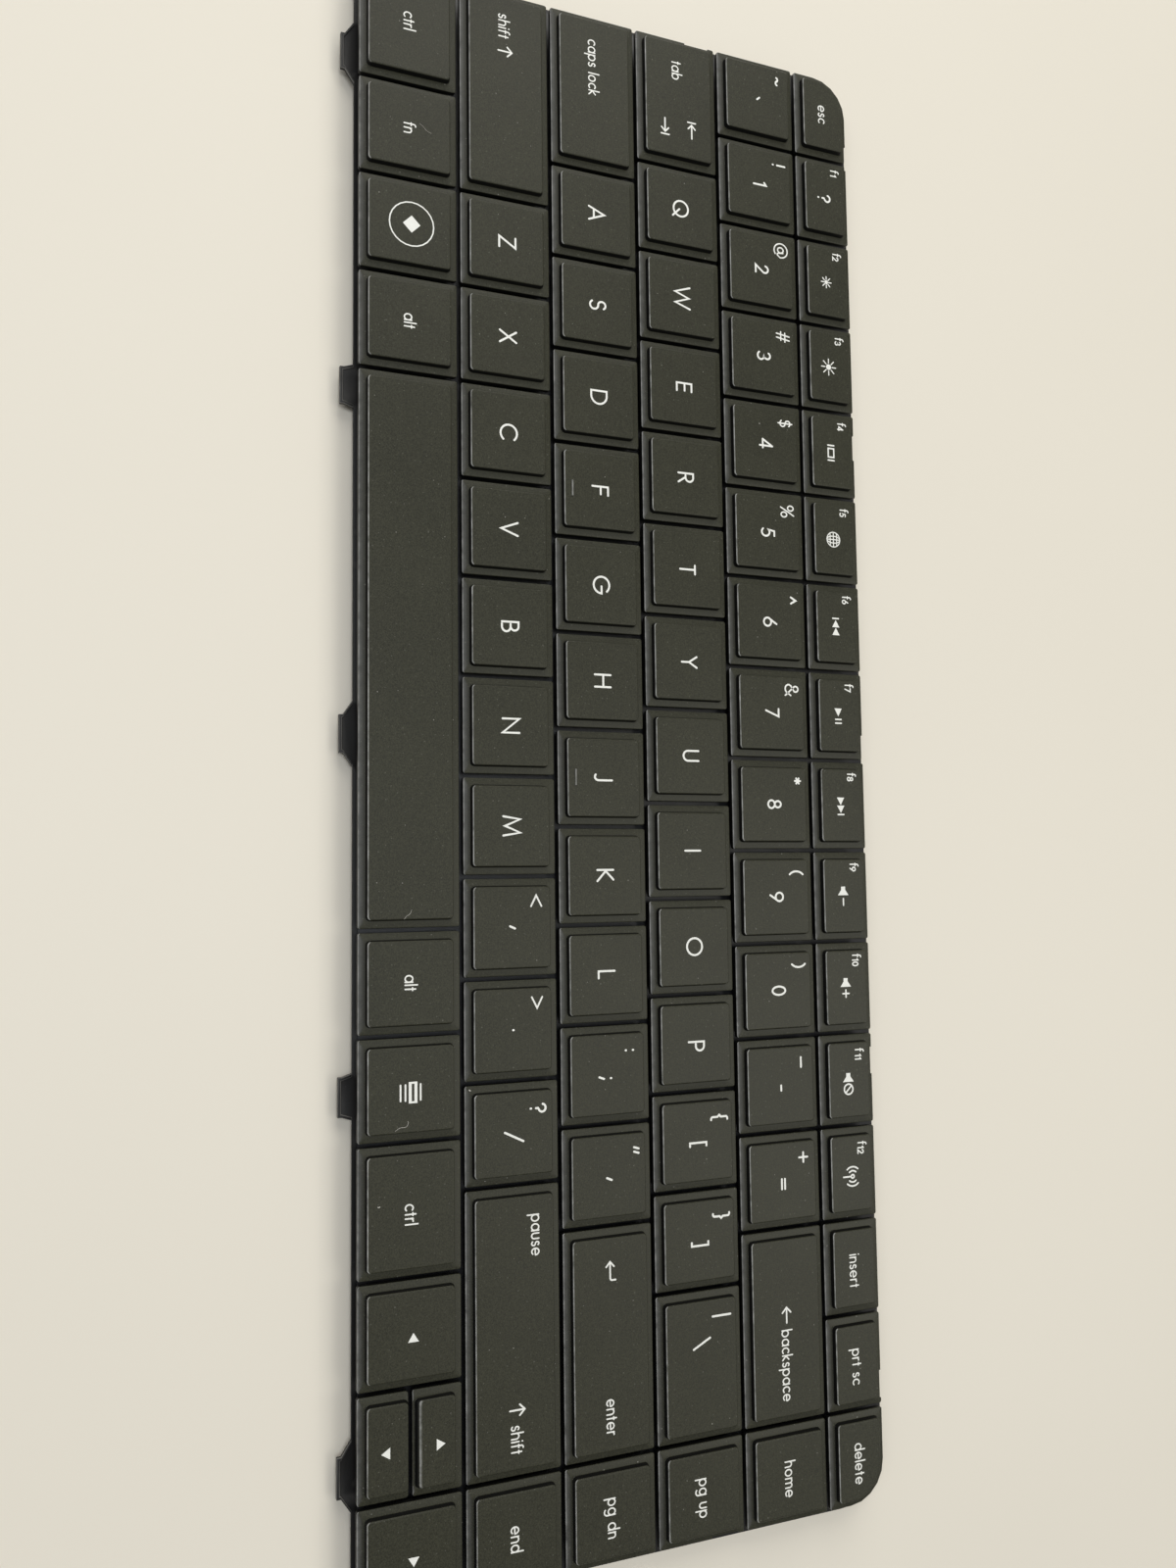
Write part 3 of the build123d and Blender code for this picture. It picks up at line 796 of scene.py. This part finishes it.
BOWL = ring(0.26, 0.31, 0.26, 0.31)
GLYPHS = {
    " ": (0.2, []),
    "A": (0.82, [[(0, 0), (0.41, 1), (0.82, 0)], [(0.14, 0.32), (0.68, 0.32)]]),
    "B": (0.56, [[(0, 0), (0, 1), *arc(0.25, 0.76, 0.24, 0.24, 90, -90), (0.12, 0.52)],
                 [(0.26, 0.52), *arc(0.28, 0.26, 0.28, 0.26, 90, -90), (0.12, 0)]]),
    "C": (0.88, [arc(0.5, 0.5, 0.5, 0.5, 42, 318)]),
    "D": (0.8, [[(0, 0), (0, 1), *arc(0.3, 0.5, 0.5, 0.5, 90, -90), (0, 0)]]),
    "E": (0.5, [[(0.5, 1), (0, 1), (0, 0), (0.5, 0)], [(0, 0.53), (0.47, 0.53)]]),
    "F": (0.5, [[(0.5, 1), (0, 1), (0, 0)], [(0, 0.53), (0.46, 0.53)]]),
    "G": (1.02, [[*arc(0.5, 0.5, 0.5, 0.5, 42, 360), (0.58, 0.5)]]),
    "H": (0.72, [[(0, 0), (0, 1)], [(0.72, 0), (0.72, 1)], [(0, 0.53), (0.72, 0.53)]]),
    "I": (0.0, [[(0, 0), (0, 1)]]),
    "J": (0.32, [[(0.32, 1), *arc(0.12, 0.16, 0.2, 0.24, 0, -130)]]),
    "K": (0.64, [[(0, 0), (0, 1)], [(0.56, 1), (0.06, 0.52), (0.64, 0)]]),
    "L": (0.4, [[(0, 1), (0, 0), (0.4, 0)]]),
    "M": (1.08, [[(0, 0), (0.16, 1), (0.54, 0.1), (0.92, 1), (1.08, 0)]]),
    "N": (0.8, [[(0, 0), (0, 1), (0.8, 0), (0.8, 1)]]),
    "O": (1.0, [ring(0.5, 0.5, 0.5, 0.5)]),
    "P": (0.52, [[(0, 0), (0, 1), *arc(0.25, 0.73, 0.27, 0.27, 90, -90), (0.12, 0.46)]]),
    "Q": (1.04, [ring(0.5, 0.5, 0.5, 0.5), [(0.54, 0.4), (1.0, -0.06)]]),
    "R": (0.56, [[(0, 0), (0, 1), *arc(0.25, 0.74, 0.26, 0.26, 90, -90), (0.12, 0.48)],
                 [(0.24, 0.48), (0.56, 0)]]),
    "S": (0.52, [[*arc(0.26, 0.76, 0.23, 0.24, 30, 250), *arc(0.26, 0.265, 0.26, 0.265, 70, -150)]]),
    "T": (0.54, [[(0, 1), (0.54, 1)], [(0.27, 1), (0.27, 0)]]),
    "U": (0.6, [[(0, 1), *arc(0.3, 0.3, 0.3, 0.3, 180, 360), (0.6, 1)]]),
    "V": (0.76, [[(0, 1), (0.38, 0), (0.76, 1)]]),
    "W": (1.36, [[(0, 1), (0.34, 0), (0.68, 0.94), (1.02, 0), (1.36, 1)]]),
    "X": (0.7, [[(0, 0), (0.66, 1)], [(0.04, 1), (0.7, 0)]]),
    "Y": (0.66, [[(0, 1), (0.33, 0.48), (0.66, 1)], [(0.33, 0.48), (0.33, 0)]]),
    "Z": (0.64, [[(0.02, 1), (0.62, 1), (0, 0), (0.64, 0)]]),
    "0": (0.56, [ring(0.28, 0.5, 0.28, 0.5)]),
    "1": (0.2, [[(0, 0.86), (0.2, 1), (0.2, 0)]]),
    "2": (0.54, [[*arc(0.27, 0.74, 0.25, 0.26, 170, -36), (0, 0), (0.54, 0)]]),
    "3": (0.54, [[*arc(0.25, 0.76, 0.23, 0.24, 150, -90), *arc(0.26, 0.26, 0.28, 0.26, 90, -150)]]),
    "4": (0.62, [[(0.46, 0), (0.46, 1)], [(0.46, 1), (0, 0.24)], [(0, 0.24), (0.62, 0.24)]]),
    "5": (0.54, [[(0.5, 1), (0.16, 1), (0.08, 0.55), *arc(0.25, 0.31, 0.29, 0.31, 112, -140)]]),
    "6": (0.58, [[(0.42, 1), (0.05, 0.44)], ring(0.29, 0.29, 0.29, 0.29)]),
    "7": (0.52, [[(0, 1), (0.52, 1), (0.12, 0)]]),
    "8": (0.54, [ring(0.27, 0.76, 0.22, 0.24), ring(0.27, 0.26, 0.27, 0.26)]),
    "9": (0.58, [ring(0.29, 0.71, 0.29, 0.29), [(0.53, 0.56), (0.16, 0)]]),
    "a": (0.52, [BOWL, [(0.52, 0.62), (0.52, 0)]]),
    "b": (0.52, [[(0, 1), (0, 0)], BOWL]),
    "c": (0.42, [arc(0.26, 0.31, 0.26, 0.31, 50, 310)]),
    "d": (0.52, [BOWL, [(0.52, 1), (0.52, 0)]]),
    "e": (0.52, [[(0.08, 0.3), (0.44, 0.3)], arc(0.26, 0.31, 0.26, 0.31, 0, 315)]),
    "f": (0.24, [[(0.09, 0), *arc(0.25, 0.82, 0.16, 0.16, 180, 80)], [(0, 0.6), (0.24, 0.6)]]),
    "g": (0.52, [BOWL, [(0.52, 0.62), *arc(0.27, -0.1, 0.25, 0.24, 0, -140)]]),
    "h": (0.44, [[(0, 1), (0, 0)], [*arc(0.22, 0.39, 0.22, 0.23, 180, 0), (0.44, 0)]]),
    "i": (0.0, [[(0, 0.62), (0, 0)], [(0, 0.9), (0, 0.93)]]),
    "k": (0.38, [[(0, 1), (0, 0)], [(0.34, 0.62), (0.03, 0.34), (0.38, 0)]]),
    "l": (0.0, [[(0, 1), (0, 0)]]),
    "m": (0.76, [[(0, 0.62), (0, 0)], [*arc(0.19, 0.42, 0.19, 0.2, 180, 0), (0.38, 0)],
                 [*arc(0.57, 0.42, 0.19, 0.2, 180, 0), (0.76, 0)]]),
    "n": (0.42, [[(0, 0.62), (0, 0)], [*arc(0.21, 0.4, 0.21, 0.22, 180, 0), (0.42, 0)]]),
    "o": (0.52, [BOWL]),
    "p": (0.52, [[(0, 0.62), (0, -0.36)], BOWL]),
    "r": (0.22, [[(0, 0.62), (0, 0)], arc(0.18, 0.4, 0.18, 0.22, 180, 75)]),
    "s": (0.32, [[*arc(0.16, 0.47, 0.13, 0.15, 30, 250), *arc(0.16, 0.16, 0.16, 0.16, 70, -150)]]),
    "t": (0.2, [[(0.1, 0.84), (0.1, 0)], [(0, 0.6), (0.2, 0.6)]]),
    "u": (0.42, [[(0, 0.62), *arc(0.21, 0.22, 0.21, 0.22, 180, 360), (0.42, 0.62)]]),
    "!": (0.0, [[(0, 1), (0, 0.36)], [(0, 0.04), (0, 0.01)]]),
    "@": (1.0, [[(0.66, 0.68), *arc(0.79, 0.36, 0.1, 0.14, 190, 300),
                 *arc(0.5, 0.5, 0.5, 0.52, -8, 302)], ring(0.47, 0.48, 0.19, 0.22)]),
    "#": (0.7, [[(0.16, 0), (0.3, 1)], [(0.44, 0), (0.58, 1)], [(0.02, 0.34), (0.62, 0.34)],
                [(0.08, 0.66), (0.7, 0.66)]]),
    "$": (0.5, [[*arc(0.25, 0.7, 0.2, 0.19, 30, 250), *arc(0.25, 0.31, 0.22, 0.2, 70, -150)],
                [(0.25, 1.04), (0.25, -0.04)]]),
    "%": (0.82, [[(0.68, 1), (0.14, 0)], ring(0.18, 0.76, 0.17, 0.22), ring(0.64, 0.24, 0.17, 0.22)]),
    "^": (0.44, [[(0, 0.62), (0.22, 1), (0.44, 0.62)]]),
    "&": (0.74, [[(0.74, 0.42), *arc(0.29, 0.26, 0.29, 0.26, -20, -240), *arc(0.3, 0.8, 0.19, 0.2, -30, 210),
                  (0.74, 0)]]),
    "*": (0.4, [[(0.2, 0.58), (0.2, 1)], [(0.02, 0.69), (0.38, 0.89)], [(0.02, 0.89), (0.38, 0.69)]]),
    "(": (0.24, [arc(0.6, 0.5, 0.58, 0.68, 130, 230)]),
    ")": (0.24, [arc(-0.36, 0.5, 0.58, 0.68, 50, -50)]),
    "-": (0.34, [[(0, 0.5), (0.34, 0.5)]]),
    "_": (0.66, [[(0, 0.5), (0.66, 0.5)]]),
    "+": (0.64, [[(0, 0.5), (0.64, 0.5)], [(0.32, 0.18), (0.32, 0.82)]]),
    "=": (0.66, [[(0, 0.62), (0.66, 0.62)], [(0, 0.38), (0.66, 0.38)]]),
    "~": (0.56, [[*arc(0.15, 0.46, 0.15, 0.12, 170, 30), *arc(0.41, 0.54, 0.15, 0.12, 210, 350)]]),
    "`": (0.16, [[(0, 0.62), (0.16, 0.44)]]),
    "{": (0.3, [[(0.3, 1.1), *arc(0.24, 0.98, 0.12, 0.12, 90, 180), (0.12, 0.62), (0, 0.5), (0.12, 0.38),
                 *arc(0.24, 0.02, 0.12, 0.12, 180, 270), (0.3, -0.1)]]),
    "}": (0.3, [[(0, 1.1), *arc(0.06, 0.98, 0.12, 0.12, 90, 0), (0.18, 0.62), (0.3, 0.5), (0.18, 0.38),
                 *arc(0.06, 0.02, 0.12, 0.12, 0, -90), (0, -0.1)]]),
    "[": (0.22, [[(0.22, 1.1), (0, 1.1), (0, -0.1), (0.22, -0.1)]]),
    "]": (0.22, [[(0, 1.1), (0.22, 1.1), (0.22, -0.1), (0, -0.1)]]),
    "|": (0.0, [[(0, 1.15), (0, -0.15)]]),
    "\\": (0.6, [[(0, 1.1), (0.6, -0.1)]]),
    "/": (0.6, [[(0.6, 1.1), (0, -0.1)]]),
    ":": (0.0, [[(0, 0.7), (0, 0.67)], [(0, 0.2), (0, 0.17)]]),
    ";": (0.14, [[(0.12, 0.72), (0.12, 0.69)], [(0.14, 0.22), (0.02, -0.1)]]),
    '"': (0.38, [[(0.1, 0.98), (0.0, 0.66)], [(0.38, 0.98), (0.28, 0.66)]]),
    "'": (0.14, [[(0.14, 0.66), (0, 0.34)]]),
    "<": (0.66, [[(0.66, 0.84), (0, 0.5), (0.66, 0.16)]]),
    ">": (0.66, [[(0, 0.84), (0.66, 0.5), (0, 0.16)]]),
    ",": (0.14, [[(0.14, 0.66), (0, 0.34)]]),
    ".": (0.0, [[(0, 0.52), (0, 0.49)]]),
    "?": (0.48, [[*arc(0.24, 0.77, 0.24, 0.23, 170, -60), (0.24, 0.5), (0.24, 0.36)],
                 [(0.24, 0.04), (0.24, 0.01)]]),
}

# Signs are drawn about their own middle, in millimetres: strokes first, then filled shapes.
SIGNS = {
    "left": ([[(1.5, 0), (-1.4, 0)], [(-0.5, 0.95), (-1.5, 0), (-0.5, -0.95)]], []),
    "up": ([[(0, -1.4), (0, 1.3)], [(-0.95, 0.5), (0, 1.45), (0.95, 0.5)]], []),
    "return": ([[(1.7, 0.8), *arc(1.3, 0.1, 0.4, 0.4, 0, -90), (-1.6, -0.3)],
                [(-0.8, 0.5), (-1.7, -0.3), (-0.8, -1.1)]], []),
    "tab_back": ([[(-1.75, 0.9), (-1.75, -0.9)], [(1.75, 0), (-1.1, 0)],
                  [(-0.35, 0.8), (-1.2, 0), (-0.35, -0.8)]], []),
    "tab_on": ([[(1.75, 0.9), (1.75, -0.9)], [(-1.75, 0), (1.1, 0)],
                [(0.35, 0.8), (1.2, 0), (0.35, -0.8)]], []),
    "left_triangle": ([], [[(-0.85, 0), (0.75, -1), (0.75, 1)]]),
    "right_triangle": ([], [[(0.85, 0), (-0.75, 1), (-0.75, -1)]]),
    "up_triangle": ([], [[(0, 0.85), (-1, -0.75), (1, -0.75)]]),
    "down_triangle": ([], [[(0, -0.85), (1, 0.75), (-1, 0.75)]]),
    "menu": ([[(-1.4, 1.4), (1.4, 1.4)], [(-1.4, -1.4), (1.4, -1.4)], [(-1.4, -2.3), (1.4, -2.3)]],
             [[(-1.9, 0.25), (1.9, 0.25), (1.9, 0.8), (-1.9, 0.8)],
              [(-1.9, -0.8), (1.9, -0.8), (1.9, -0.25), (-1.9, -0.25)],
              [(-1.9, -0.25), (-1.55, -0.25), (-1.55, 0.25), (-1.9, 0.25)],
              [(1.55, -0.25), (1.9, -0.25), (1.9, 0.25), (1.55, 0.25)]]),
    "meta": ([ring(0, 0, 4.3, 4.3)], [[(0, -1.7), (1.7, 0), (0, 1.7), (-1.7, 0)]]),
    "display": ([[(-0.95, 0.7), (0.95, 0.7), (0.95, -0.7), (-0.95, -0.7), (-0.95, 0.7)],
                 [(-1.65, 0.75), (-1.65, -0.75)], [(1.65, 0.75), (1.65, -0.75)]], []),
    "globe": ([ring(0, 0, 1.6, 1.6), ring(0, 0, 0.75, 1.6), [(0, 1.5), (0, -1.5)], [(-1.5, 0), (1.5, 0)],
               [(-1.3, 0.8), (1.3, 0.8)], [(-1.3, -0.8), (1.3, -0.8)]], []),
    "previous": ([[(-1.9, 0.7), (-1.9, -0.7)]],
                 [[(-1.55, 0), (0, -0.9), (0, 0.9)], [(0.1, 0), (1.7, -0.9), (1.7, 0.9)]]),
    "play": ([[(0.75, 0.7), (0.75, -0.7)], [(1.55, 0.7), (1.55, -0.7)]],
             [[(-1.6, 0.9), (-1.6, -0.9), (0.1, 0)]]),
    "next": ([[(1.9, 0.7), (1.9, -0.7)]],
             [[(-1.7, 0.9), (-1.7, -0.9), (-0.1, 0)], [(0, 0.9), (0, -0.9), (1.55, 0)]]),
}
SPEAKER = [(-2.0, 0.5), (-2.0, -0.5), (-1.3, -0.5), (-0.2, -1.3), (-0.2, 1.3), (-1.3, 0.5)]
SIGNS["quieter"] = ([[(0.5, 0), (1.9, 0)]], [SPEAKER])
SIGNS["louder"] = ([[(0.45, 0), (1.95, 0)], [(1.2, 0.75), (1.2, -0.75)]], [SPEAKER])
SIGNS["mute"] = ([ring(1.3, 0, 1.05, 1.05), [(0.6, 0.7), (2.0, -0.7)]], [SPEAKER])
SIGNS["wireless"] = ([[(0, -1.8), (0, -0.1)], ring(0, 0.4, 0.35, 0.35)]
                     + [arc(0, 0.4, reach, reach, middle - 42, middle + 42)
                        for reach in (1.15, 1.95) for middle in (0, 180)], [])
for sign, reach in [("dim", 1.25), ("bright", 1.8)]:
    rays = [radians(45 * n) for n in range(8)]
    inner = reach * 0.5
    SIGNS[sign] = ([[(inner * cos(a), inner * sin(a)), (reach * cos(a), reach * sin(a))] for a in rays],
                   [ring(0, 0, inner * 0.7, inner * 0.7)[:-1]])

# What is printed on each key: a text with its size, or a sign, and where its middle is.
LETTER = 3.75
FIGURE = 3.4
WORD = 2.55
SMALL_F = 2.3
SMALL_FIGURE = 1.6
SHIFTED = (-4.9, 4.75)
PRINT = {name: [(name.upper(), LETTER, 0, 0)] for name in cells if len(name) == 1 and name.isalpha()}
KEYS_WITH_TWO = {
    "backquote": "~`", "1": "!1", "2": "@2", "3": "#3", "4": "$4", "5": "%5", "6": "^6", "7": "&7",
    "8": "*8", "9": "(9", "0": ")0", "minus": "_-", "equals": "+=", "left_bracket": "{[",
    "right_bracket": "}]", "semicolon": ":;", "quote": "\"'", "comma": "<,", "period": ">.", "slash": "?/",
}
for name, (above, below) in KEYS_WITH_TWO.items():
    PRINT[name] = [(above, FIGURE, *SHIFTED), (below, FIGURE, 0, 0)]
PRINT["backslash"] = [("|", FIGURE, -9.7, 4.4), ("\\", FIGURE, -4.9, 0)]
WORDS = {
    "escape": "esc", "insert": "insert", "print_screen": "prt sc", "delete": "delete", "home": "home",
    "page_up": "pg up", "page_down": "pg dn", "end": "end", "left_ctrl": "ctrl", "fn": "fn",
    "left_alt": "alt", "right_alt": "alt", "right_ctrl": "ctrl",
}
for name, word in WORDS.items():
    PRINT[name] = [(word, WORD, 0, 0)]
PRINT["tab"] = [("tab", WORD, -6.3, -0.3), ("tab_back", 0, 6.2, 2.9), ("tab_on", 0, 6.4, -3.3)]
PRINT["caps_lock"] = [("caps lock", WORD, -4.7, -0.2)]
PRINT["left_shift"] = [("shift", WORD, -13.4, -0.3), ("up", 0, -8.2, -0.2)]
PRINT["right_shift"] = [("pause", WORD, -17.6, 4.4), ("up", 0, 13.2, 0.2), ("shift", WORD, 18.4, 0.2)]
PRINT["enter"] = [("return", 0, -13.9, 0.2), ("enter", WORD, 12.8, 0)]
PRINT["backspace"] = [("left", 0, -2.9, 0), ("backspace", WORD, 6.8, 0)]
ALONE = {
    "meta": "meta", "menu": "menu", "left_arrow": "left_triangle", "right_arrow": "right_triangle",
    "up_arrow": "up_triangle", "down_arrow": "down_triangle",
}
for name, sign in ALONE.items():
    PRINT[name] = [(sign, 0, 0, 0.3)]
FUNCTION_SIGNS = ["?", "dim", "bright", "display", "globe", "previous", "play", "next", "quieter", "louder"]
for number, sign in enumerate(FUNCTION_SIGNS + ["mute", "wireless"], 1):
    along = -5.55 if number < 10 else -5.1
    label = [("f", SMALL_F, -6.5, 2.6), (str(number), SMALL_FIGURE, along, 2.2)]
    PRINT[f"f{number}"] = label + [(sign, 0 if sign in SIGNS else FIGURE, 0.1, -0.3)]


ROUND_END = [25, 50, 78]


def ribbon(shape, line, half, low, high):
    """Adds one flat stroke with round ends, as a closed thin solid."""
    closed = line[0] == line[-1]
    points = [Vector(point) for point in (line[:-1] if closed else line)]
    count = len(points)
    stations = []
    for n, point in enumerate(points):
        ways = []
        if closed or n:
            ways.append((point - points[n - 1]).normalized())
        if closed or n < count - 1:
            ways.append((points[(n + 1) % count] - point).normalized())
        way = sum(ways, Vector((0, 0))).normalized()
        stations.append((point, way, half / max(0.4, way.dot(ways[0]))))
    if not closed:
        (first, begins, _), (last, ends, _) = stations[0], stations[-1]
        turns = [radians(a) for a in ROUND_END]
        opening = [(first - begins * half * sin(a), begins, half * cos(a)) for a in reversed(turns)]
        stations = opening + stations + [(last + ends * half * sin(a), ends, half * cos(a)) for a in turns]
    loops = []
    for point, way, spread in stations:
        side = Vector((-way.y, way.x)) * spread
        corners = [(point - side, low), (point + side, low), (point + side, high), (point - side, high)]
        loops.append([shape.verts.new((spot.x, spot.y, level)) for spot, level in corners])
    for n in range(len(loops) if closed else len(loops) - 1):
        here, there = loops[n], loops[(n + 1) % len(loops)]
        for k in range(4):
            shape.faces.new([here[k], here[(k + 1) % 4], there[(k + 1) % 4], there[k]])
    if not closed:
        shape.faces.new(loops[0][::-1])
        shape.faces.new(loops[-1])


def patch(shape, outline, low, high):
    """Adds one filled shape as a closed thin solid."""
    under = [shape.verts.new((x, y, low)) for x, y in outline]
    over = [shape.verts.new((x, y, high)) for x, y in outline]
    shape.faces.new(over)
    shape.faces.new(under[::-1])
    for n in range(len(outline)):
        m = (n + 1) % len(outline)
        shape.faces.new([under[n], under[m], over[m], over[n]])


LETTER_GAP = 0.095


def text_strokes(text, size, weight):
    """The strokes of a text about its own middle, in millimetres."""
    scale = size - weight
    strokes = []
    along = 0.0
    for letter in text:
        width, lines = GLYPHS[letter]
        for line in lines:
            strokes.append([(along + x * scale, (y - 0.5) * scale) for x, y in line])
        along += width * scale + weight + LETTER_GAP * size
    shift = (along - weight - LETTER_GAP * size) / 2
    return [[(x - shift, y) for x, y in line] for line in strokes]


# Stroke widths in millimetres: large letters, signs and small words, and what is drawn finer.
BOLD = 0.4
SIGN_LINE = 0.32
THIN = 0.27
FINE = {"@": 0.29, "#": 0.3, "$": 0.3, "%": 0.3, "&": 0.34, "<": 0.32, ">": 0.32}
FINE.update({"globe": 0.22, "meta": 0.25, "bright": 0.24, "dim": 0.24})
NUDGED_FROM = 55 * MM
NUDGE = 0.5 * MM
STAGGER = 0.02


def print_key(shape, name):
    """Adds what is printed on one key to a shape. Keys at the right end are printed off-centre."""
    low = CAP_LEVEL - INK_THICKNESS / 2
    key_x, key_y = cells[name][:2]
    key_x += NUDGE if key_x > NUDGED_FROM else 0.0
    for text, size, right, back in PRINT.get(name, []):
        weight = FINE.get(text, BOLD if size >= FIGURE else SIGN_LINE if text in SIGNS else THIN)
        strokes, fills = SIGNS[text] if text in SIGNS else (text_strokes(text, size, weight), [])
        middle = Vector((key_x + right * MM, key_y + back * MM))
        for n, line in enumerate(strokes):
            points = [(middle.x + x * MM, middle.y + y * MM) for x, y in line]
            ribbon(shape, points, weight / 2 * MM, low, CAP_LEVEL + INK_THICKNESS * (1 + n * STAGGER))
        for outline in fills:
            points = [(middle.x + x * MM, middle.y + y * MM) for x, y in outline]
            patch(shape, points, low, CAP_LEVEL + INK_THICKNESS)


def add_print(label, names, body):
    """The printing on some keys of one body, as one piece."""
    shape = bmesh.new()
    for name in names:
        print_key(shape, name)
    bmesh.ops.recalc_face_normals(shape, faces=shape.faces)
    mesh = bpy.data.meshes.new(label)
    shape.to_mesh(mesh)
    shape.free()
    mesh.materials.append(legend_ink)
    add_piece(label, mesh, body)


for name in moving:
    if name in PRINT:
        add_print("legend_" + name, [name], "key_" + name)
for label, names in GROUPS.items():
    add_print(f"{label}_legends", names, "chassis")


# Lint
# A few loose fibres and flecks that lie on the caps: pale lint on the space bar, the fn and menu
# keys, and white flecks on the right ctrl, slash and 4 keys.
LINT = (0.62, 0.60, 0.55)
DARK_LINT = (0.36, 0.34, 0.30)
LINT_LIFT = 0.4
lint_fibre, lint, place = start_material("lint_fibre", 0.8)
two_colours(grain(place, 0.3 * MM, 2.0), DARK_LINT, LINT).into(lint["Base Color"])
inlet, size = start_tree("lint_thread", {"Thickness": "Float"})
strand = inlet.node("GeometryNodeMeshToCurve", {"Mesh": inlet.out("Points")})
strand = strand.node("GeometryNodeCurveSplineType", {"Curve": strand}, spline_type="CATMULL_ROM")
round_profile = {"Resolution": 6, "Radius": size["Thickness"] * 0.5}
thread = {"Profile Curve": inlet.node("GeometryNodeCurvePrimitiveCircle", round_profile), "Fill Caps": True}
strand = strand.node("GeometryNodeCurveToMesh", {"Curve": strand, **thread})
lint_tree = end_tree(strand, lint_fibre)
# By key: its body, the level it lies on, its thickness and its path from the key's middle, in mm.
FIBRES = {
    "space": ("key_space", CAP_LEVEL, 0.07, [(48.7, 0.1), (49.4, -0.2), (49.9, -0.9), (50.4, -1.3)]),
    "menu": ("chassis", CAP_LEVEL, 0.08, [(7.1, -3.0), (6.6, -2.1), (6.5, -1.0), (5.9, -0.6), (5.5, -0.7)]),
    "fn": ("chassis", CAP_LEVEL, 0.05, [(-1.3, 1.8), (-0.8, 2.6), (-0.1, 3.3), (0.2, 4.2)]),
    "right_ctrl": ("chassis", CAP_LEVEL, 0.2, [(-1.4, -6.2), (-1.35, -5.9), (-1.45, -5.7)]),
    "slash": ("key_slash", FLANGE_LEVEL, 0.3, [(-8.5, -8.4), (-8.4, -8.2), (-8.3, -8.1)]),
    "4": ("key_4", CAP_LEVEL, 0.18, [(-4.2, -1.6), (-4.1, -1.5), (-4.0, -1.5)]),
}
for name, (body, base, thickness, path) in FIBRES.items():
    x, y = cells[name][:2]
    level = base + thickness * LINT_LIFT * MM
    points = [(x + right * MM, y + back * MM, level) for right, back in path]
    links = [(n, n + 1) for n in range(len(points) - 1)]
    mesh = grown(lint_tree, points, {"Thickness": thickness * MM}, links)
    smooth(mesh, 80)
    add_piece("lint_on_" + name, mesh, body)


# Floor, light and camera
# A plain pale floor, soft lamps, and the camera where the photograph was taken from.
FLOOR = (0.80, 0.75, 0.65)
PALE_FLOOR = (0.83, 0.78, 0.68)
FLOOR_REACH = 4
SKY = (1.0, 0.99, 0.96)
SKY_STRENGTH = 0.22
floor_paint, pale, place = start_material("pale_floor", 0.55)
two_colours(grain(place, 0.12, 2.0), FLOOR, PALE_FLOOR).into(pale["Base Color"])
floor_mesh = bpy.data.meshes.new("floor")
floor_corners = [(FLOOR_REACH * x, FLOOR_REACH * y, 0) for x, y in [(-1, -1), (1, -1), (1, 1), (-1, 1)]]
floor_mesh.from_pydata(floor_corners, [], [(0, 1, 2, 3)])
floor_mesh.materials.append(floor_paint)
floor = add_object("floor", floor_mesh)

world = bpy.data.worlds.new("studio")
world.use_nodes = True
sky = world.node_tree.nodes["Background"].inputs
sky["Color"].default_value = (*SKY, 1)
sky["Strength"].default_value = SKY_STRENGTH
bpy.context.scene.world = world
# Each lamp: its name, place, width, power in watts and tint.
LAMPS = [
    ("left_lamp", (-1.00, 0.10, 0.72), 0.9, 7.2, (1.0, 0.98, 0.93)),
    ("back_lamp", (0.26, 0.84, 1.30), 0.8, 7.0, (1.0, 0.98, 0.92)),
    ("top_lamp", (-0.05, -0.22, 1.15), 0.4, 3.0, (0.89, 0.94, 1.0)),
    ("front_lamp", (-0.15, -0.75, 0.95), 0.4, 2.0, (0.95, 0.97, 1.0)),
]
for name, spot, width, power, tint in LAMPS:
    lamp = bpy.data.lights.new(name, "AREA")
    lamp.size = width
    lamp.energy = power
    lamp.color = tint
    holder = add_object(name, lamp)
    holder.location = spot
    holder.rotation_mode = "QUATERNION"
    holder.rotation_quaternion = (-Vector(spot)).to_track_quat("-Z", "Y")

FOCAL_LENGTH = 28.827
EYE = (0.024706, -0.1015, 0.232125)
TO_RIGHT = Vector((0.01229, 0.92583, 0.37773))
TO_TOP = Vector((-0.99699, -0.01755, 0.07546))
lens = bpy.data.cameras.new("camera")
lens.sensor_width = 36.0
lens.lens = FOCAL_LENGTH
lens.clip_start = 0.005
camera = add_object("camera", lens)
turn = Matrix((TO_RIGHT, TO_TOP, TO_RIGHT.cross(TO_TOP))).transposed().to_4x4()
camera.matrix_world = Matrix.Translation(EYE) @ turn
bpy.context.scene.camera = camera
bpy.context.scene.view_settings.view_transform = "Standard"
